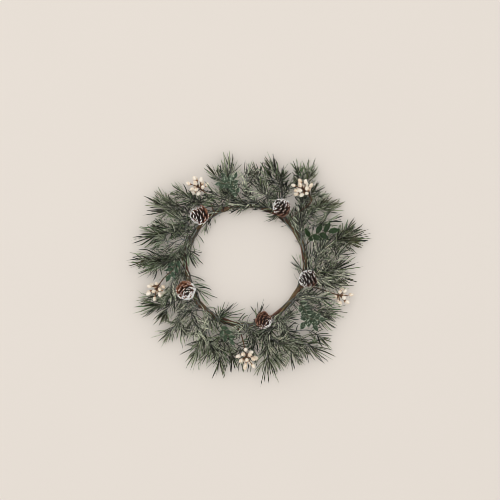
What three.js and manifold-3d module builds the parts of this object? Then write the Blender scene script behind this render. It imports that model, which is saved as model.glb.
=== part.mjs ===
// Frosted pine candle ring, lying flat. Three twisted vine strands make the ring. Pine sprays, cones, berry
// sprays and leaf sprigs are tied round it by their stems, and the hole stays clear for a candle.
// Millimetres, +Z up, resting on z = 0. Bearings and headings are degrees, anticlockwise from +X from above.

import * as THREE from 'three';
import Module from 'manifold-3d';
import { mergeVertices } from 'three/addons/utils/BufferGeometryUtils.js';

const wasm = await Module();
wasm.setup();

// Ring of vine strands
const RING_CENTRE = new THREE.Vector2(-5, 4.5);
const RING_RADIUS = 87;
const RING_DENT = 3;
const DENT_BEARING = 320;
const DENT_WIDTH = 30;
const STRANDS = 3;
const STRAND_RADIUS = 1.7;
const STRAND_SPREAD = 2.2;
const STRAND_TURNS = 6;
const STRAND_PHASE = 10;
const STRAND_SIDES = 4;
const STEPS_PER_TURN = 9;
const BUNDLE_HEIGHT = 3.2;

// Stems, which lie along the ring before they leave it
const STEM_RADIUS = 1;
const STEM_TIP_RADIUS = 0.9;
const STEM_SIDES = 3;
const STEM_STEPS = 2;
const SEAT_RUN = 8;
const SEAT_GAP = 0.28;
const STEM_LEAD = 0.35;
const STEM_LIFT = 0.25;

// Pine needles
const NEEDLE_RADIUS = 0.95;
const NEEDLE_SIDES = 3;
const NEEDLE_WIDEST = 0.24;
const NEEDLE_PITCH = 3.6;
const NEEDLE_RUN_BEHIND = 8;
const NEEDLE_SPREAD_BACK = 62;
const NEEDLE_SPREAD_TIP = 12;
const NEEDLE_SPREAD_JITTER = 14;
const NEEDLE_LENGTH_JITTER = 0.14;
const NEEDLE_CURVE = 0.22;
const NEEDLE_TRIES = 40;
const CLEARANCE = 0.35;
const FLOOR_CLEARANCE = 1.7;
const HOLE_RADIUS = 55;

// Cones
const CONE_SCALES = 20;
const CONE_CORE = 0.5;
const CONE_REST = 8.5;

// Berries and leaves
const BERRY_LENGTH = 8.4;
const BERRY_RADIUS = 3.2;
const PEDICEL_RADIUS = 0.6;
const LEAF_THICKNESS = 1.1;
const LEAF_ARCH = 0.16;
const LEAF_ROWS = [[0, 0], [0.36, 0.5], [0.74, 0.4], [1, 0]];

const GOLDEN_ANGLE = 137.508;
const UP = new THREE.Vector3(0, 0, 1);
const rad = THREE.MathUtils.degToRad;
const random = THREE.MathUtils.seededRandom;
random(1225);

// Angles round the bundle where stems lie: 0 is outward, 90 on top, 180 towards the hole
const LOW = 10;
const MID = 50;
const TOP = 90;
const INNER = 130;
const INSIDE = 170;
const STALK_LANE = 76;

// Pine sprays, one row for each needled tip: bearing, radius and height of the tip, its heading and pitch,
// needled length, needle length. The first row of a spray also has its seat bearing, its lane and the way
// round the ring that its stem runs (1 is anticlockwise). Its other rows fork off that stem.
const PINE_SPRAYS = {
  right_outer: [[15, 154, 12, 18, 4, 23, 34, 2, LOW, 1], [20, 158, 9, 49, 2, 15, 16]],
  right_mid: [[7, 138, 20, 36, 4, 27, 23, 350, MID, 1], [12, 112, 30, 60, 24, 19, 27]],
  right_lower: [[357, 134, 12, 10, 4, 26, 32, 338, LOW, 1], [347, 132, 16, 335, 4, 20, 26]],
  right_along: [[39, 103, 29, 92, 30, 26, 28, 20, TOP, 1]],
  top_right_outer: [[36, 144, 12, 20, 4, 22, 25, 46, MID, -1], [40, 143, 18, 52, 4, 16, 18],
    [28, 136, 22, 26, 6, 18, 22]],
  top_right_mid: [[47, 146, 18, 45, 4, 18, 17, 34, MID, 1]],
  top_right_long: [[55, 160, 12, 76, 5, 18, 22, 26, LOW, 1], [61, 155, 15, 104, 4, 18, 18]],
  top_outer_b: [[74, 147, 11, 117, 4, 20, 25, 50, LOW, 1], [75, 133, 22, 130, 8, 22, 25]],
  top_outer_c: [[83, 133, 15, 119, 4, 26, 22, 66, LOW, 1], [80, 108, 29, 150, 26, 16, 26]],
  top_outer_d: [[89, 129, 22, 86, 4, 23, 21, 78, MID, 1]],
  top_outer_e: [[101, 136, 12, 94, 4, 28, 29, 88, LOW, 1]],
  top_outer_f: [[109, 137, 20, 135, 4, 20, 18, 98, MID, 1], [115, 114, 29, 156, 22, 18, 24]],
  top_left_outer: [[145, 155, 10, 162, 0, 16, 21, 124, LOW, 1], [131, 141, 15, 138, 5, 17, 19]],
  top_left_mid: [[147, 140, 18, 197, 2, 26, 26, 108, MID, 1], [131, 122, 28, 180, 24, 15, 24]],
  left_upper: [[156, 131, 22, 180, 6, 22, 22, 147, MID, 1], [146, 119, 31, 165, 26, 16, 24]],
  left_outer_a: [[163, 141, 10, 197, 2, 24, 31, 140, LOW, 1], [166, 131, 14, 222, 4, 15, 18]],
  left_body: [[166, 114, 29, 210, 26, 16, 28, 152, TOP, 1], [177, 99, 27, 262, 22, 20, 26]],
  left_outer_b: [[176, 143, 11, 189, 2, 26, 29, 160, LOW, 1], [181, 133, 16, 196, 4, 22, 28]],
  left_low: [[194, 95, 22, 283, 28, 14, 22, 180, TOP, 1], [201, 116, 24, 262, 20, 18, 24]],
  lower_left_outer: [[204, 145, 12, 192, 2, 21, 30, 216, LOW, -1], [211, 139, 16, 231, 4, 20, 20]],
  lower_left_b: [[221, 150, 12, 222, 2, 18, 22, 200, MID, 1], [227, 134, 18, 285, 5, 19, 20]],
  lower_left_body: [[233, 116, 29, 292, 26, 22, 28, 217, TOP, 1]],
  bottom_left_outer: [[241, 144, 11, 252, 2, 23, 31, 234, LOW, 1], [250, 126, 17, 325, 6, 18, 26]],
  bottom_left_b: [[255, 144, 11, 267, 2, 26, 27, 246, LOW, 1], [262, 137, 17, 284, 4, 20, 19]],
  bottom_outer: [[282, 146, 12, 263, 2, 23, 31, 298, MID, -1], [289, 142, 18, 305, 4, 19, 20]],
  bottom_body: [[262, 99, 18, 176, 20, 12, 26, 275, TOP, -1]],
  bottom_frosted: [[296, 128, 29, 335, 26, 26, 28, 270, LOW, 1]],
  bottom_right_a: [[296, 149, 20, 265, 2, 16, 19, 314, MID, -1]],
  bottom_right_b: [[309, 154, 10, 332, 2, 22, 33, 284, LOW, 1], [304, 145, 12, 306, 2, 14, 18]],
  lower_right_in: [[311, 97, 20, 28, 20, 13, 22, 300, TOP, 1]],
  lower_right_along: [[334, 89, 23, 56, 28, 15, 25, 317, INNER, 1]],
  lower_right: [[331, 137, 12, 348, 3, 21, 26, 324, LOW, 1], [337, 124, 26, 350, 20, 20, 24],
    [325, 141, 18, 336, 4, 18, 22]],
  hole_right: [[359, 78, 13, 120, 10, 10, 20, 345, INNER, 1]],
  hole_top_right: [[59, 81, 13, 200, 10, 9, 15, 44, INNER, 1]],
  hole_top: [[98, 82, 14, 202, 8, 10, 16, 82, INNER, 1]],
  hole_top_left: [[136, 79, 12, 264, 8, 8, 12, 122, INNER, 1]],
  hole_left: [[168, 81, 14, 304, 6, 8, 24, 150, INNER, 1]],
  hole_lower_left: [[210, 77, 11, 318, 8, 14, 28, 195, INSIDE, 1]],
  hole_bottom_left: [[248, 77, 14, 30, 8, 11, 27, 235, INNER, 1]],
  hole_bottom: [[285, 73, 13, 90, 8, 9, 22, 270, INNER, 1]],
};

// Cones: bearing and radius of the middle, heading and pitch of the nose, width, length
const CONES = {
  top_left: [133.8, 98.5, 189, 50, 29, 30],
  top: [58.9, 98.2, 133, 45, 28, 30],
  left: [204, 92.8, 307, 70, 29, 28],
  bottom: [288.9, 85, 330, 60, 26, 27],
  right: [347, 90, 194, 42, 28, 30],
};

// Berry sprays: bearing, radius and height of the twig's tip, heading, pitch, seat bearing, lane, berries
const BERRY_SPRAYS = {
  top_right: [53, 136, 34, 135, 12, 42, TOP, 13],
  top_left: [121, 131, 32, 138, 16, 117, TOP, 9],
  left: [195, 133, 22, 236, 20, 172, MID, 9],
  bottom: [271, 133, 28, 285, 40, 256, TOP, 12],
  right: [342, 145, 22, 342, 24, 333, TOP, 9],
};

// Leaf sprigs: bearing, radius and height of the twig's tip, heading, pitch, seat bearing, lane, leaves,
// leaf length, leaf width
const LEAF_SPRIGS = {
  top: [103, 128, 30, 129, 10, 86, TOP, 9, 10, 6],
  right: [22, 128, 30, 10, 6, 8, MID, 7, 17, 8],
  lower_right: [319, 129, 30, 300, 8, 320, TOP, 10, 12, 8],
  left: [187, 108, 34, 243, 6, 168, TOP, 6, 13, 6],
  bottom: [258, 108, 30, 307, 8, 240, TOP, 6, 12, 6],
};

// A point given by its bearing and radius from the middle of the ring
function place(bearing, radius, height) {
  const angle = rad(bearing);
  return new THREE.Vector3(
    RING_CENTRE.x + radius * Math.cos(angle), RING_CENTRE.y + radius * Math.sin(angle), height);
}

// A unit vector by heading and pitch
function aim(heading, pitch = 0) {
  return new THREE.Vector3(Math.cos(rad(heading)), Math.sin(rad(heading)), 0)
    .multiplyScalar(Math.cos(rad(pitch)))
    .addScaledVector(UP, Math.sin(rad(pitch)));
}

// A unit vector turned by an angle towards another that is square to it
function lean(along, side, angle) {
  return along.clone().multiplyScalar(Math.cos(rad(angle))).addScaledVector(side, Math.sin(rad(angle)));
}

// Radius of the ring, which is pressed in a little at the lower right
function ringRadius(bearing) {
  const apart = ((bearing - DENT_BEARING + 900) % 360) - 180;
  return RING_RADIUS - RING_DENT * Math.exp(-((apart / DENT_WIDTH) ** 2));
}

// Distance from the middle of the bundle to the outside of its strands, at a bearing and under a lane
function bundleReach(bearing, lane) {
  const [across, up] = [Math.cos(rad(lane)), Math.sin(rad(lane))];
  let reach = 0;
  for (let k = 0; k < STRANDS; k += 1) {
    const phase = rad(STRAND_TURNS * bearing + STRAND_PHASE + (360 / STRANDS) * k);
    for (let angle = 0; angle < 360; angle += 15) {
      const [u, v] = [Math.cos(rad(angle)), Math.sin(rad(angle))];
      const size = STRAND_RADIUS * Math.SQRT1_2 / Math.max(Math.abs(u), Math.abs(v));
      const x = STRAND_SPREAD * Math.cos(phase) + size * u;
      const y = STRAND_SPREAD * Math.sin(phase) + size * v;
      if (Math.abs(x * up - y * across) < STEM_RADIUS) reach = Math.max(reach, x * across + y * up);
    }
  }
  return reach;
}

// Points on a lane round the bundle, just clear of the strands under all of them
function lanePoints(bearings, lane) {
  const halfStem = STEM_RADIUS * (0.866 * Math.abs(Math.cos(rad(lane))) + 0.5 * Math.sin(rad(lane)));
  const reach = Math.max(...bearings.map((bearing) => bundleReach(bearing, lane))) + SEAT_GAP + halfStem;
  return bearings.map((bearing) => place(
    bearing, ringRadius(bearing) + reach * Math.cos(rad(lane)), BUNDLE_HEIGHT + reach * Math.sin(rad(lane))));
}

// A closed geometry as a solid that can be joined
function solid(geometry) {
  const bare = geometry.clone();
  bare.deleteAttribute('normal');
  bare.deleteAttribute('uv');
  const merged = mergeVertices(bare, 1e-4);
  return new wasm.Manifold(new wasm.Mesh({
    numProp: 3,
    vertProperties: merged.attributes.position.array,
    triVerts: new Uint32Array(merged.index.array),
  }));
}

// Joins solids into one and keeps its largest body
function fuse(solids) {
  const whole = solids.reduce((joined, next) => joined.add(next));
  const bodies = whole.decompose();
  bodies.sort((a, b) => b.volume() - a.volume());
  return bodies[0];
}

// A solid back as a geometry
function geometryOf(whole) {
  const { vertProperties, triVerts } = whole.getMesh();
  const geometry = new THREE.BufferGeometry();
  geometry.setAttribute('position', new THREE.BufferAttribute(vertProperties, 3));
  geometry.setIndex(new THREE.BufferAttribute(triVerts, 1));
  return geometry;
}

// Bends a unit-high geometry that stands on the Y axis round the points of a path, one row of its vertices at
// each point and no twist between them. Where flat is under 1 it is that much thinner than wide, across the
// face vector.
function bendAlong(geometry, points, radii, { flat = 1, face = UP } = {}) {
  const steps = points.length - 1;
  const rows = points.map((_, row) => {
    const from = Math.min(row, steps - 1);
    return { along: points[from + 1].clone().sub(points[from]).normalize() };
  });
  let side = rows[0].along.clone().cross(face);
  for (const row of rows) {
    side = side.clone().addScaledVector(row.along, -side.dot(row.along)).normalize();
    row.side = side;
    row.through = side.clone().cross(row.along);
  }
  const position = geometry.attributes.position;
  for (let i = 0; i < position.count; i += 1) {
    const row = Math.round((position.getY(i) + 0.5) * steps);
    const { side: across, through } = rows[row];
    const reach = Math.hypot(position.getX(i), position.getZ(i));
    const scale = reach > 1e-6 ? radii[row] / reach : 0;
    const vertex = points[row].clone()
      .addScaledVector(across, position.getX(i) * scale)
      .addScaledVector(through, position.getZ(i) * scale * flat);
    position.setXYZ(i, vertex.x, vertex.y, vertex.z);
  }
  return geometry;
}

// A rod with flat ends
function rod(points, radii, sides) {
  return bendAlong(new THREE.CylinderGeometry(1, 1, 1, sides, points.length - 1), points, radii);
}

// A spindle with a point at both ends
function spindle(points, radii, sides, shape) {
  return bendAlong(new THREE.SphereGeometry(0.5, sides, points.length - 1), points, radii, shape);
}

// One strand: a torus whose tube winds round the bundle's centre line, flattened where it touches the table
function strandGeometry(index) {
  const steps = STRAND_TURNS * STEPS_PER_TURN;
  const geometry = new THREE.TorusGeometry(RING_RADIUS, 1, STRAND_SIDES, steps);
  const position = geometry.attributes.position;
  for (let i = 0; i < position.count; i += 1) {
    const [x, y, z] = [position.getX(i), position.getY(i), position.getZ(i)];
    const bearing = Math.atan2(y, x);
    const corner = Math.atan2(z, Math.hypot(x, y) - RING_RADIUS) + Math.PI / STRAND_SIDES;
    const phase = STRAND_TURNS * bearing + rad(STRAND_PHASE + (360 / STRANDS) * index);
    const middle = ringRadius(THREE.MathUtils.radToDeg(bearing));
    const outward = middle + STRAND_SPREAD * Math.cos(phase) + STRAND_RADIUS * Math.cos(corner);
    const height = BUNDLE_HEIGHT + STRAND_SPREAD * Math.sin(phase) + STRAND_RADIUS * Math.sin(corner);
    position.setXYZ(
      i, RING_CENTRE.x + outward * Math.cos(bearing), RING_CENTRE.y + outward * Math.sin(bearing),
      Math.max(height, 0));
  }
  return geometry;
}

// A bend that leaves a point in one direction and ends in a straight run up to a tip
function bendTo(from, leaving, { tip, heading, pitch, run }) {
  const end = tip.clone().addScaledVector(aim(heading, pitch), -run);
  const lead = STEM_LEAD * from.distanceTo(end);
  const bend = new THREE.CubicBezierCurve3(
    from, from.clone().addScaledVector(leaving, lead),
    end.clone().addScaledVector(aim(heading, pitch), -lead), end);
  return [...bend.getPoints(STEM_STEPS), tip];
}

// Path of a stem: a run along its lane, then a bend away from the ring and out to its tip
function stemPath(row) {
  const { seat, lane, turn = 1 } = row;
  const away = aim(seat).multiplyScalar(Math.cos(rad(lane))).addScaledVector(UP, Math.sin(rad(lane)));
  const leaving = aim(seat + turn * 90).addScaledVector(away, STEM_LIFT);
  const run = [0, 0.25, 0.5, 0.75, 1].map((share) => seat - turn * SEAT_RUN * (1 - share));
  const lying = lanePoints(run, lane);
  return [lying[0], ...bendTo(lying[4], leaving, row)];
}

// Path of a side stem, which forks off a main stem in the middle of its bend
function forkPath(main, row) {
  const leaving = main[3].clone().sub(main[1]).normalize();
  return bendTo(main[2], leaving, row);
}

// A stem, a little thinner towards its tip
function stemSolid(points) {
  const last = points.length - 1;
  const radii = points.map((_, i) => THREE.MathUtils.lerp(STEM_RADIUS, STEM_TIP_RADIUS, i / last));
  return solid(rod(points, radii, STEM_SIDES));
}

// What is already placed, as thick segments, so that a needle can be bent clear of it
const taken = [];

function take(owner, from, to, radius) {
  taken.push({ owner, from, to, radius });
}

function takePath(owner, points, radius) {
  for (let i = 1; i < points.length; i += 1) take(owner, points[i - 1], points[i], radius);
}

// Clear distance between two thick segments
const probe = new THREE.Ray();
const touch = new THREE.Vector3();
const line = new THREE.Line3();
function gapBetween(a, b) {
  const reach = a.from.distanceTo(a.to);
  probe.origin.copy(a.from);
  probe.direction.subVectors(a.to, a.from).normalize();
  let square = probe.distanceSqToSegment(b.from, b.to, touch);
  if (touch.distanceTo(a.from) > reach) {
    line.set(b.from, b.to).closestPointToPoint(a.to, true, touch);
    square = touch.distanceToSquared(a.to);
  }
  return Math.sqrt(square) - a.radius - b.radius;
}

// True where a needle's two segments touch nothing of another node and stay out of the hole. Near its root a
// needle may touch its own spray.
function isClear(owner, path) {
  const hole = new THREE.Vector2();
  for (const point of path) {
    hole.set(point.x, point.y).sub(RING_CENTRE);
    if (hole.length() < HOLE_RADIUS) return false;
  }
  const [root, widest, end] = path;
  const parts = [
    { from: root, to: widest, radius: NEEDLE_RADIUS, foot: true },
    { from: widest, to: end, radius: NEEDLE_RADIUS },
  ];
  return parts.every((part) => taken.every((other) => {
    if (other.owner === owner) return part.foot || gapBetween(part, other) > 0;
    return gapBetween(part, other) > CLEARANCE;
  }));
}

// The point and direction at a distance back from the tip of a path
function backFromTip(points, distance) {
  let left = distance;
  for (let i = points.length - 1; i > 0; i -= 1) {
    const step = points[i].distanceTo(points[i - 1]);
    if (left <= step || i === 1) {
      const along = points[i].clone().sub(points[i - 1]).normalize();
      return { point: points[i].clone().addScaledVector(along, -Math.min(left, step)), along };
    }
    left -= step;
  }
  return null;
}

// Path of one needle: out from the stem at a spread angle, then curving a little towards the stem's direction
function needlePath(root, along, spread, turn, length) {
  const side = along.clone().cross(UP).normalize();
  const radial = side.applyAxisAngle(along, rad(turn));
  const out = lean(along, radial, spread);
  const widest = root.clone().addScaledVector(out, length * NEEDLE_WIDEST);
  out.lerp(along, NEEDLE_CURVE).normalize();
  const end = widest.clone().addScaledVector(out, length * (1 - NEEDLE_WIDEST));
  widest.z = Math.max(widest.z, FLOOR_CLEARANCE);
  end.z = Math.max(end.z, FLOOR_CLEARANCE);
  return [root, widest, end];
}

// Needles of one tip, set in a spiral along its needled length, each drawn again until it is clear
function needles(owner, points, run, length) {
  const reach = run + NEEDLE_RUN_BEHIND;
  const count = Math.round(reach / NEEDLE_PITCH);
  const paths = [];
  for (let i = 0; i < count; i += 1) {
    const share = i / (count - 1);
    for (let attempt = 0; attempt < NEEDLE_TRIES; attempt += 1) {
      const { point, along } = backFromTip(points, reach * share + 0.6);
      const spread = THREE.MathUtils.lerp(NEEDLE_SPREAD_TIP, NEEDLE_SPREAD_BACK, Math.sqrt(share))
        + NEEDLE_SPREAD_JITTER * (random() - 0.5) * (1 + attempt / 10);
      const turn = GOLDEN_ANGLE * i + 60 * (random() - 0.5) + attempt * 9;
      const size = length * (1 + NEEDLE_LENGTH_JITTER * (2 * random() - 1) - 0.2 * share);
      const path = needlePath(point, along, spread, turn, size);
      if (isClear(owner, path)) {
        takePath(owner, path, NEEDLE_RADIUS);
        paths.push(path);
        break;
      }
    }
  }
  return paths;
}

function needleSolid(path) {
  const face = Math.abs(path[2].z - path[0].z) > 0.9 * path[2].distanceTo(path[0])
    ? new THREE.Vector3(1, 0, 0) : UP;
  return solid(spindle(path, [0, NEEDLE_RADIUS, 0], NEEDLE_SIDES, { face }));
}

// A cone in its own frame: base at the origin, nose up +Y. The core is turned, and the scales stand out of it
// in a spiral, each a wedge that is widest near its outer end.
function coneOutline(share) {
  const belly = Math.sin(Math.PI * THREE.MathUtils.lerp(0.28, 0.93, share)) ** 0.8;
  return belly * (1 - 0.18 * share);
}

function coneSolid(width, length) {
  const radius = width / 2;
  const profile = [new THREE.Vector2(0, 0.06 * length)];
  for (const share of [0.15, 0.75]) {
    profile.push(new THREE.Vector2(CONE_CORE * radius * coneOutline(share), share * length * 0.96));
  }
  profile.push(new THREE.Vector2(0, 0.97 * length));
  const pieces = [solid(new THREE.LatheGeometry(profile, 6))];
  for (let i = 0; i < CONE_SCALES; i += 1) {
    const share = (i + 0.5) / CONE_SCALES;
    const height = length * THREE.MathUtils.lerp(0.1, 0.9, share);
    const reach = radius * coneOutline(share);
    const lift = THREE.MathUtils.lerp(5, 50, share ** 1.4);
    const outward = new THREE.Vector3(Math.cos(rad(GOLDEN_ANGLE * i)), 0, Math.sin(rad(GOLDEN_ANGLE * i)));
    const root = new THREE.Vector3(0, height - 0.7 * reach * Math.tan(rad(lift)), 0);
    const end = outward.clone().multiplyScalar(reach).setY(height);
    const widest = root.clone().lerp(end, 0.84);
    const face = end.clone().sub(root).cross(outward.clone().cross(new THREE.Vector3(0, 1, 0))).normalize();
    const half = THREE.MathUtils.lerp(4.6, 2.4, share) * (width / 29);
    pieces.push(solid(spindle([root, widest, end], [0, half, 0], 4, { flat: 0.38, face })));
  }
  return fuse(pieces);
}

// One berry on its stalk, which starts at the origin and runs up +Y
function berryGeometry(stalk) {
  const outline = [[0, 0], [PEDICEL_RADIUS, stalk]];
  for (const [r, h] of [[0.95, 0.38], [0.8, 0.8], [0, 1]]) {
    outline.push([r * BERRY_RADIUS, stalk + h * BERRY_LENGTH]);
  }
  return new THREE.LatheGeometry(outline.map(([x, y]) => new THREE.Vector2(x, y)), 5);
}

// One leaf: a thin blade with a raised rib, arched downwards to its tip
function leafSolid(root, out, up, length, width) {
  const path = LEAF_ROWS.map(([share]) => (
    root.clone().addScaledVector(out, share * length).addScaledVector(up, -LEAF_ARCH * length * share ** 2)));
  const radii = LEAF_ROWS.map(([, half]) => half * width);
  return solid(spindle(path, radii, 4, { flat: LEAF_THICKNESS / width, face: up }));
}

function plain(name, color, roughness) {
  return new THREE.MeshStandardMaterial({ name, color, roughness, metalness: 0 });
}

const materials = {
  bark: () => plain('brown vine bark', 0x6b5340, 0.9),
  pine: () => plain('frosted pine green', 0x5d6a58, 0.85),
  cone: () => plain('snow-tipped cone brown', 0x7a5a47, 0.85),
  berry: () => plain('cream berry', 0xf2e8d5, 0.6),
  leaf: () => plain('frosted leaf green', 0x7d9480, 0.8),
};

const ring = new THREE.Group();

function addMesh(name, geometry, material) {
  const mesh = new THREE.Mesh(geometry, material);
  mesh.name = name;
  ring.add(mesh);
}

// The three strands
function addStrands() {
  for (let k = 0; k < STRANDS; k += 1) addMesh(`vine_strand_${k + 1}`, strandGeometry(k), materials.bark());
  const bundle = Array.from({ length: 61 }, (_, i) => place(i * 6, ringRadius(i * 6), BUNDLE_HEIGHT));
  takePath('ring', bundle, STRAND_SPREAD + STRAND_RADIUS + 0.2);
}

// The cones, each on a short stalk that comes up from the top of the ring
function addCones() {
  for (const [name, [bearing, radius, heading, pitch, width, length]] of Object.entries(CONES)) {
    const nose = aim(heading, pitch);
    const halfHeight = Math.hypot((length / 2) * Math.sin(rad(pitch)), (width / 2) * Math.cos(rad(pitch)));
    const middle = place(bearing, radius, CONE_REST + halfHeight);
    const base = middle.clone().addScaledVector(nose, -length / 2);
    const geometry = geometryOf(coneSolid(width, length));
    geometry.applyQuaternion(new THREE.Quaternion().setFromUnitVectors(new THREE.Vector3(0, 1, 0), nose));
    geometry.translate(base.x, base.y, base.z);
    const under = Math.atan2(base.y - RING_CENTRE.y, base.x - RING_CENTRE.x);
    const [foot] = lanePoints([THREE.MathUtils.radToDeg(under)], STALK_LANE);
    const stalk = stemSolid([foot, base.addScaledVector(nose, 0.2 * length)]);
    addMesh(`cone_${name}`, geometryOf(fuse([solid(geometry), stalk])), materials.cone());
    const reach = Math.max(width, length) / 2 + 0.6;
    take(`cone_${name}`, middle, middle.clone().addScaledVector(nose, 0.01), reach);
  }
}

// One spray of pine: its stems, with needles all along their tips
function sprayRows(rows) {
  return rows.map(([bearing, radius, height, heading, pitch, run, length, seat, lane, turn]) => ({
    tip: place(bearing, radius, height), heading, pitch, run, length, seat, lane, turn,
  }));
}

function addPine() {
  const sprays = Object.entries(PINE_SPRAYS).map(([name, table]) => {
    const [main, ...forks] = sprayRows(table);
    const points = stemPath(main);
    const stems = [{ points, row: main }];
    for (const row of forks) stems.push({ points: forkPath(points, row), row });
    for (const stem of stems) takePath(name, stem.points, STEM_RADIUS);
    return { name, stems };
  });
  for (const { name, stems } of sprays) {
    const pieces = stems.map(({ points }) => stemSolid(points));
    for (const { points, row } of stems) {
      for (const path of needles(name, points, row.run, row.length)) pieces.push(needleSolid(path));
    }
    addMesh(`pine_${name}`, geometryOf(fuse(pieces)), materials.pine());
  }
}

// The berry sprays: a twig with a short stalk out to each berry
function addBerries() {
  for (const [name, row] of Object.entries(BERRY_SPRAYS)) {
    const [bearing, radius, height, heading, pitch, seat, lane, count, turn] = row;
    const tip = place(bearing, radius, height);
    const points = stemPath({ tip, heading, pitch, run: 16, seat, lane, turn });
    const owner = `berries_${name}`;
    const pieces = [stemSolid(points)];
    takePath(owner, points, STEM_RADIUS);
    for (let i = 0; i < count; i += 1) {
      const share = (i + 0.5) / count;
      const { point, along } = backFromTip(points, 9 * share);
      const spread = THREE.MathUtils.lerp(8, 84, Math.sqrt(share));
      const side = along.clone().cross(UP).normalize().applyAxisAngle(along, rad(GOLDEN_ANGLE * i));
      const out = lean(along, side, spread);
      const stalk = THREE.MathUtils.lerp(11, 4.5, share) + 3 * (i % 2);
      const berry = berryGeometry(stalk);
      berry.applyQuaternion(new THREE.Quaternion().setFromUnitVectors(new THREE.Vector3(0, 1, 0), out));
      berry.translate(point.x, point.y, point.z);
      pieces.push(solid(berry));
      take(owner, point, point.clone().addScaledVector(out, stalk + BERRY_LENGTH), BERRY_RADIUS);
    }
    addMesh(owner, geometryOf(fuse(pieces)), materials.berry());
  }
}

// The leaf sprigs: a twig with a leaf at each step along it, turned round it
function addLeaves() {
  for (const [name, row] of Object.entries(LEAF_SPRIGS)) {
    const [bearing, radius, height, heading, pitch, seat, lane, count, length, width] = row;
    const tip = place(bearing, radius, height);
    const points = stemPath({ tip, heading, pitch, run: 20, seat, lane });
    const owner = `leaves_${name}`;
    const pieces = [stemSolid(points)];
    takePath(owner, points, STEM_RADIUS);
    for (let i = 0; i < count; i += 1) {
      const { point, along } = backFromTip(points, 0.5 + i * length * 0.34);
      const side = along.clone().cross(UP).normalize();
      const swing = i === 0 ? 0 : 50 * (i % 2 === 0 ? 1 : -1);
      const out = lean(along, side, swing);
      out.addScaledVector(UP, 0.25 * (i % 3) - 0.05).normalize();
      const up = out.clone().cross(UP).cross(out).normalize();
      pieces.push(leafSolid(point, out, up, length, width));
      take(owner, point, point.clone().addScaledVector(out, length), width / 2 + 0.4);
    }
    addMesh(owner, geometryOf(fuse(pieces)), materials.leaf());
  }
}

addStrands();
addCones();
addBerries();
addLeaves();
addPine();

export default ring;
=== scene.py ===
import bpy
import numpy as np
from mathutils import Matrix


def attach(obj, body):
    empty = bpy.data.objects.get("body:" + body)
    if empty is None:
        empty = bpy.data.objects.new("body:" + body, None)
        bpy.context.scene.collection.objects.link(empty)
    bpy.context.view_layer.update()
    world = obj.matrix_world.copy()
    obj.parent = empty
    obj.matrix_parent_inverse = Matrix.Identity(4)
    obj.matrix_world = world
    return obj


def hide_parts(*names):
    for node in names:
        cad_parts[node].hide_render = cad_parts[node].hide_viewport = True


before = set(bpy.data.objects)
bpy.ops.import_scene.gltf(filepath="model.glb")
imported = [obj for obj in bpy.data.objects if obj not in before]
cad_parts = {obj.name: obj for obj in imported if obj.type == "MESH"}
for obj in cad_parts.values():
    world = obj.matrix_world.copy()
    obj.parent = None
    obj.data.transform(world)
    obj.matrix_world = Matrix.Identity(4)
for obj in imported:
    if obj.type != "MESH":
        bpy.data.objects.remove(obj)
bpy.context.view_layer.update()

# The view. The ring lies on a sheet of warm pale paper and is seen from straight above, under a wide white
# ceiling that lights it from all sides and a large soft lamp a little to the upper left.
VIEW_HEIGHT = 1.418
VIEW_MIDDLE = (0.0015, 0.0261)
LENS = 70
FILTER_WIDTH = 0.6
DIFFUSE_BOUNCES = 2
PAPER_WIDTH = 14.0
PAPER_DROP = 0.0002
PAPER_COLOUR = (0.782, 0.726, 0.671)
PAPER_ROUGHNESS = 0.9
CLOUD_SCALE = 6.0
CLOUD_SHADE = 0.985
NOISE_ROUGHNESS = 0.55
CEILING_COLOUR = (1.0, 0.985, 0.96)
CEILING_LIGHT = 1.11
WALL_LIGHT = 0.36
LAMP_PLACE = (-0.45, 0.6, 3.3)
LAMP_WIDTH = 1.35
LAMP_POWER = 20


def new_material(name, roughness=0.5, specular=0.5):
    """A material with a Principled shader. Returns it with its node tree and the shader."""
    material = bpy.data.materials.new(name)
    material.use_nodes = True
    shader = material.node_tree.nodes["Principled BSDF"]
    shader.inputs["Roughness"].default_value = roughness
    shader.inputs["Specular IOR Level"].default_value = specular
    return material, material.node_tree, shader


def connect(tree, socket, value):
    """Links a socket to another, or gives it a number, a vector or a colour."""
    if isinstance(value, bpy.types.NodeSocket):
        tree.links.new(value, socket)
    elif socket.type == "RGBA":
        socket.default_value = (*value, 1)
    else:
        socket.default_value = value


def blended(tree, share, first, second):
    """A colour between two colours, by a share from 0 to 1."""
    node = tree.nodes.new("ShaderNodeMix")
    node.data_type = "RGBA"
    for number, value in ((0, share), (6, first), (7, second)):
        connect(tree, node.inputs[number], value)
    return node.outputs[2]


def spread_out(tree, value, low=0.0, high=1.0, to_low=0.0, to_high=1.0):
    """A value between low and high, stretched to run between two others and held there."""
    node = tree.nodes.new("ShaderNodeMapRange")
    for number, setting in enumerate((value, low, high, to_low, to_high)):
        connect(tree, node.inputs[number], setting)
    return node.outputs[0]


def mottled(tree, spot, scale, detail=2.0):
    """Soft noise from 0 to 1, with scale patches to a metre of the spot's vector."""
    node = tree.nodes.new("ShaderNodeTexNoise")
    values = {"Vector": spot, "Scale": scale, "Detail": detail, "Roughness": NOISE_ROUGHNESS}
    for name, value in values.items():
        connect(tree, node.inputs[name], value)
    return node.outputs[0]


def object_place(tree):
    """The place on the piece in metres."""
    return tree.nodes.new("ShaderNodeTexCoord").outputs["Object"]


def new_object(name, data):
    """An object of the scene, at the origin."""
    thing = bpy.data.objects.new(name, data)
    bpy.context.collection.objects.link(thing)
    return thing


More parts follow.
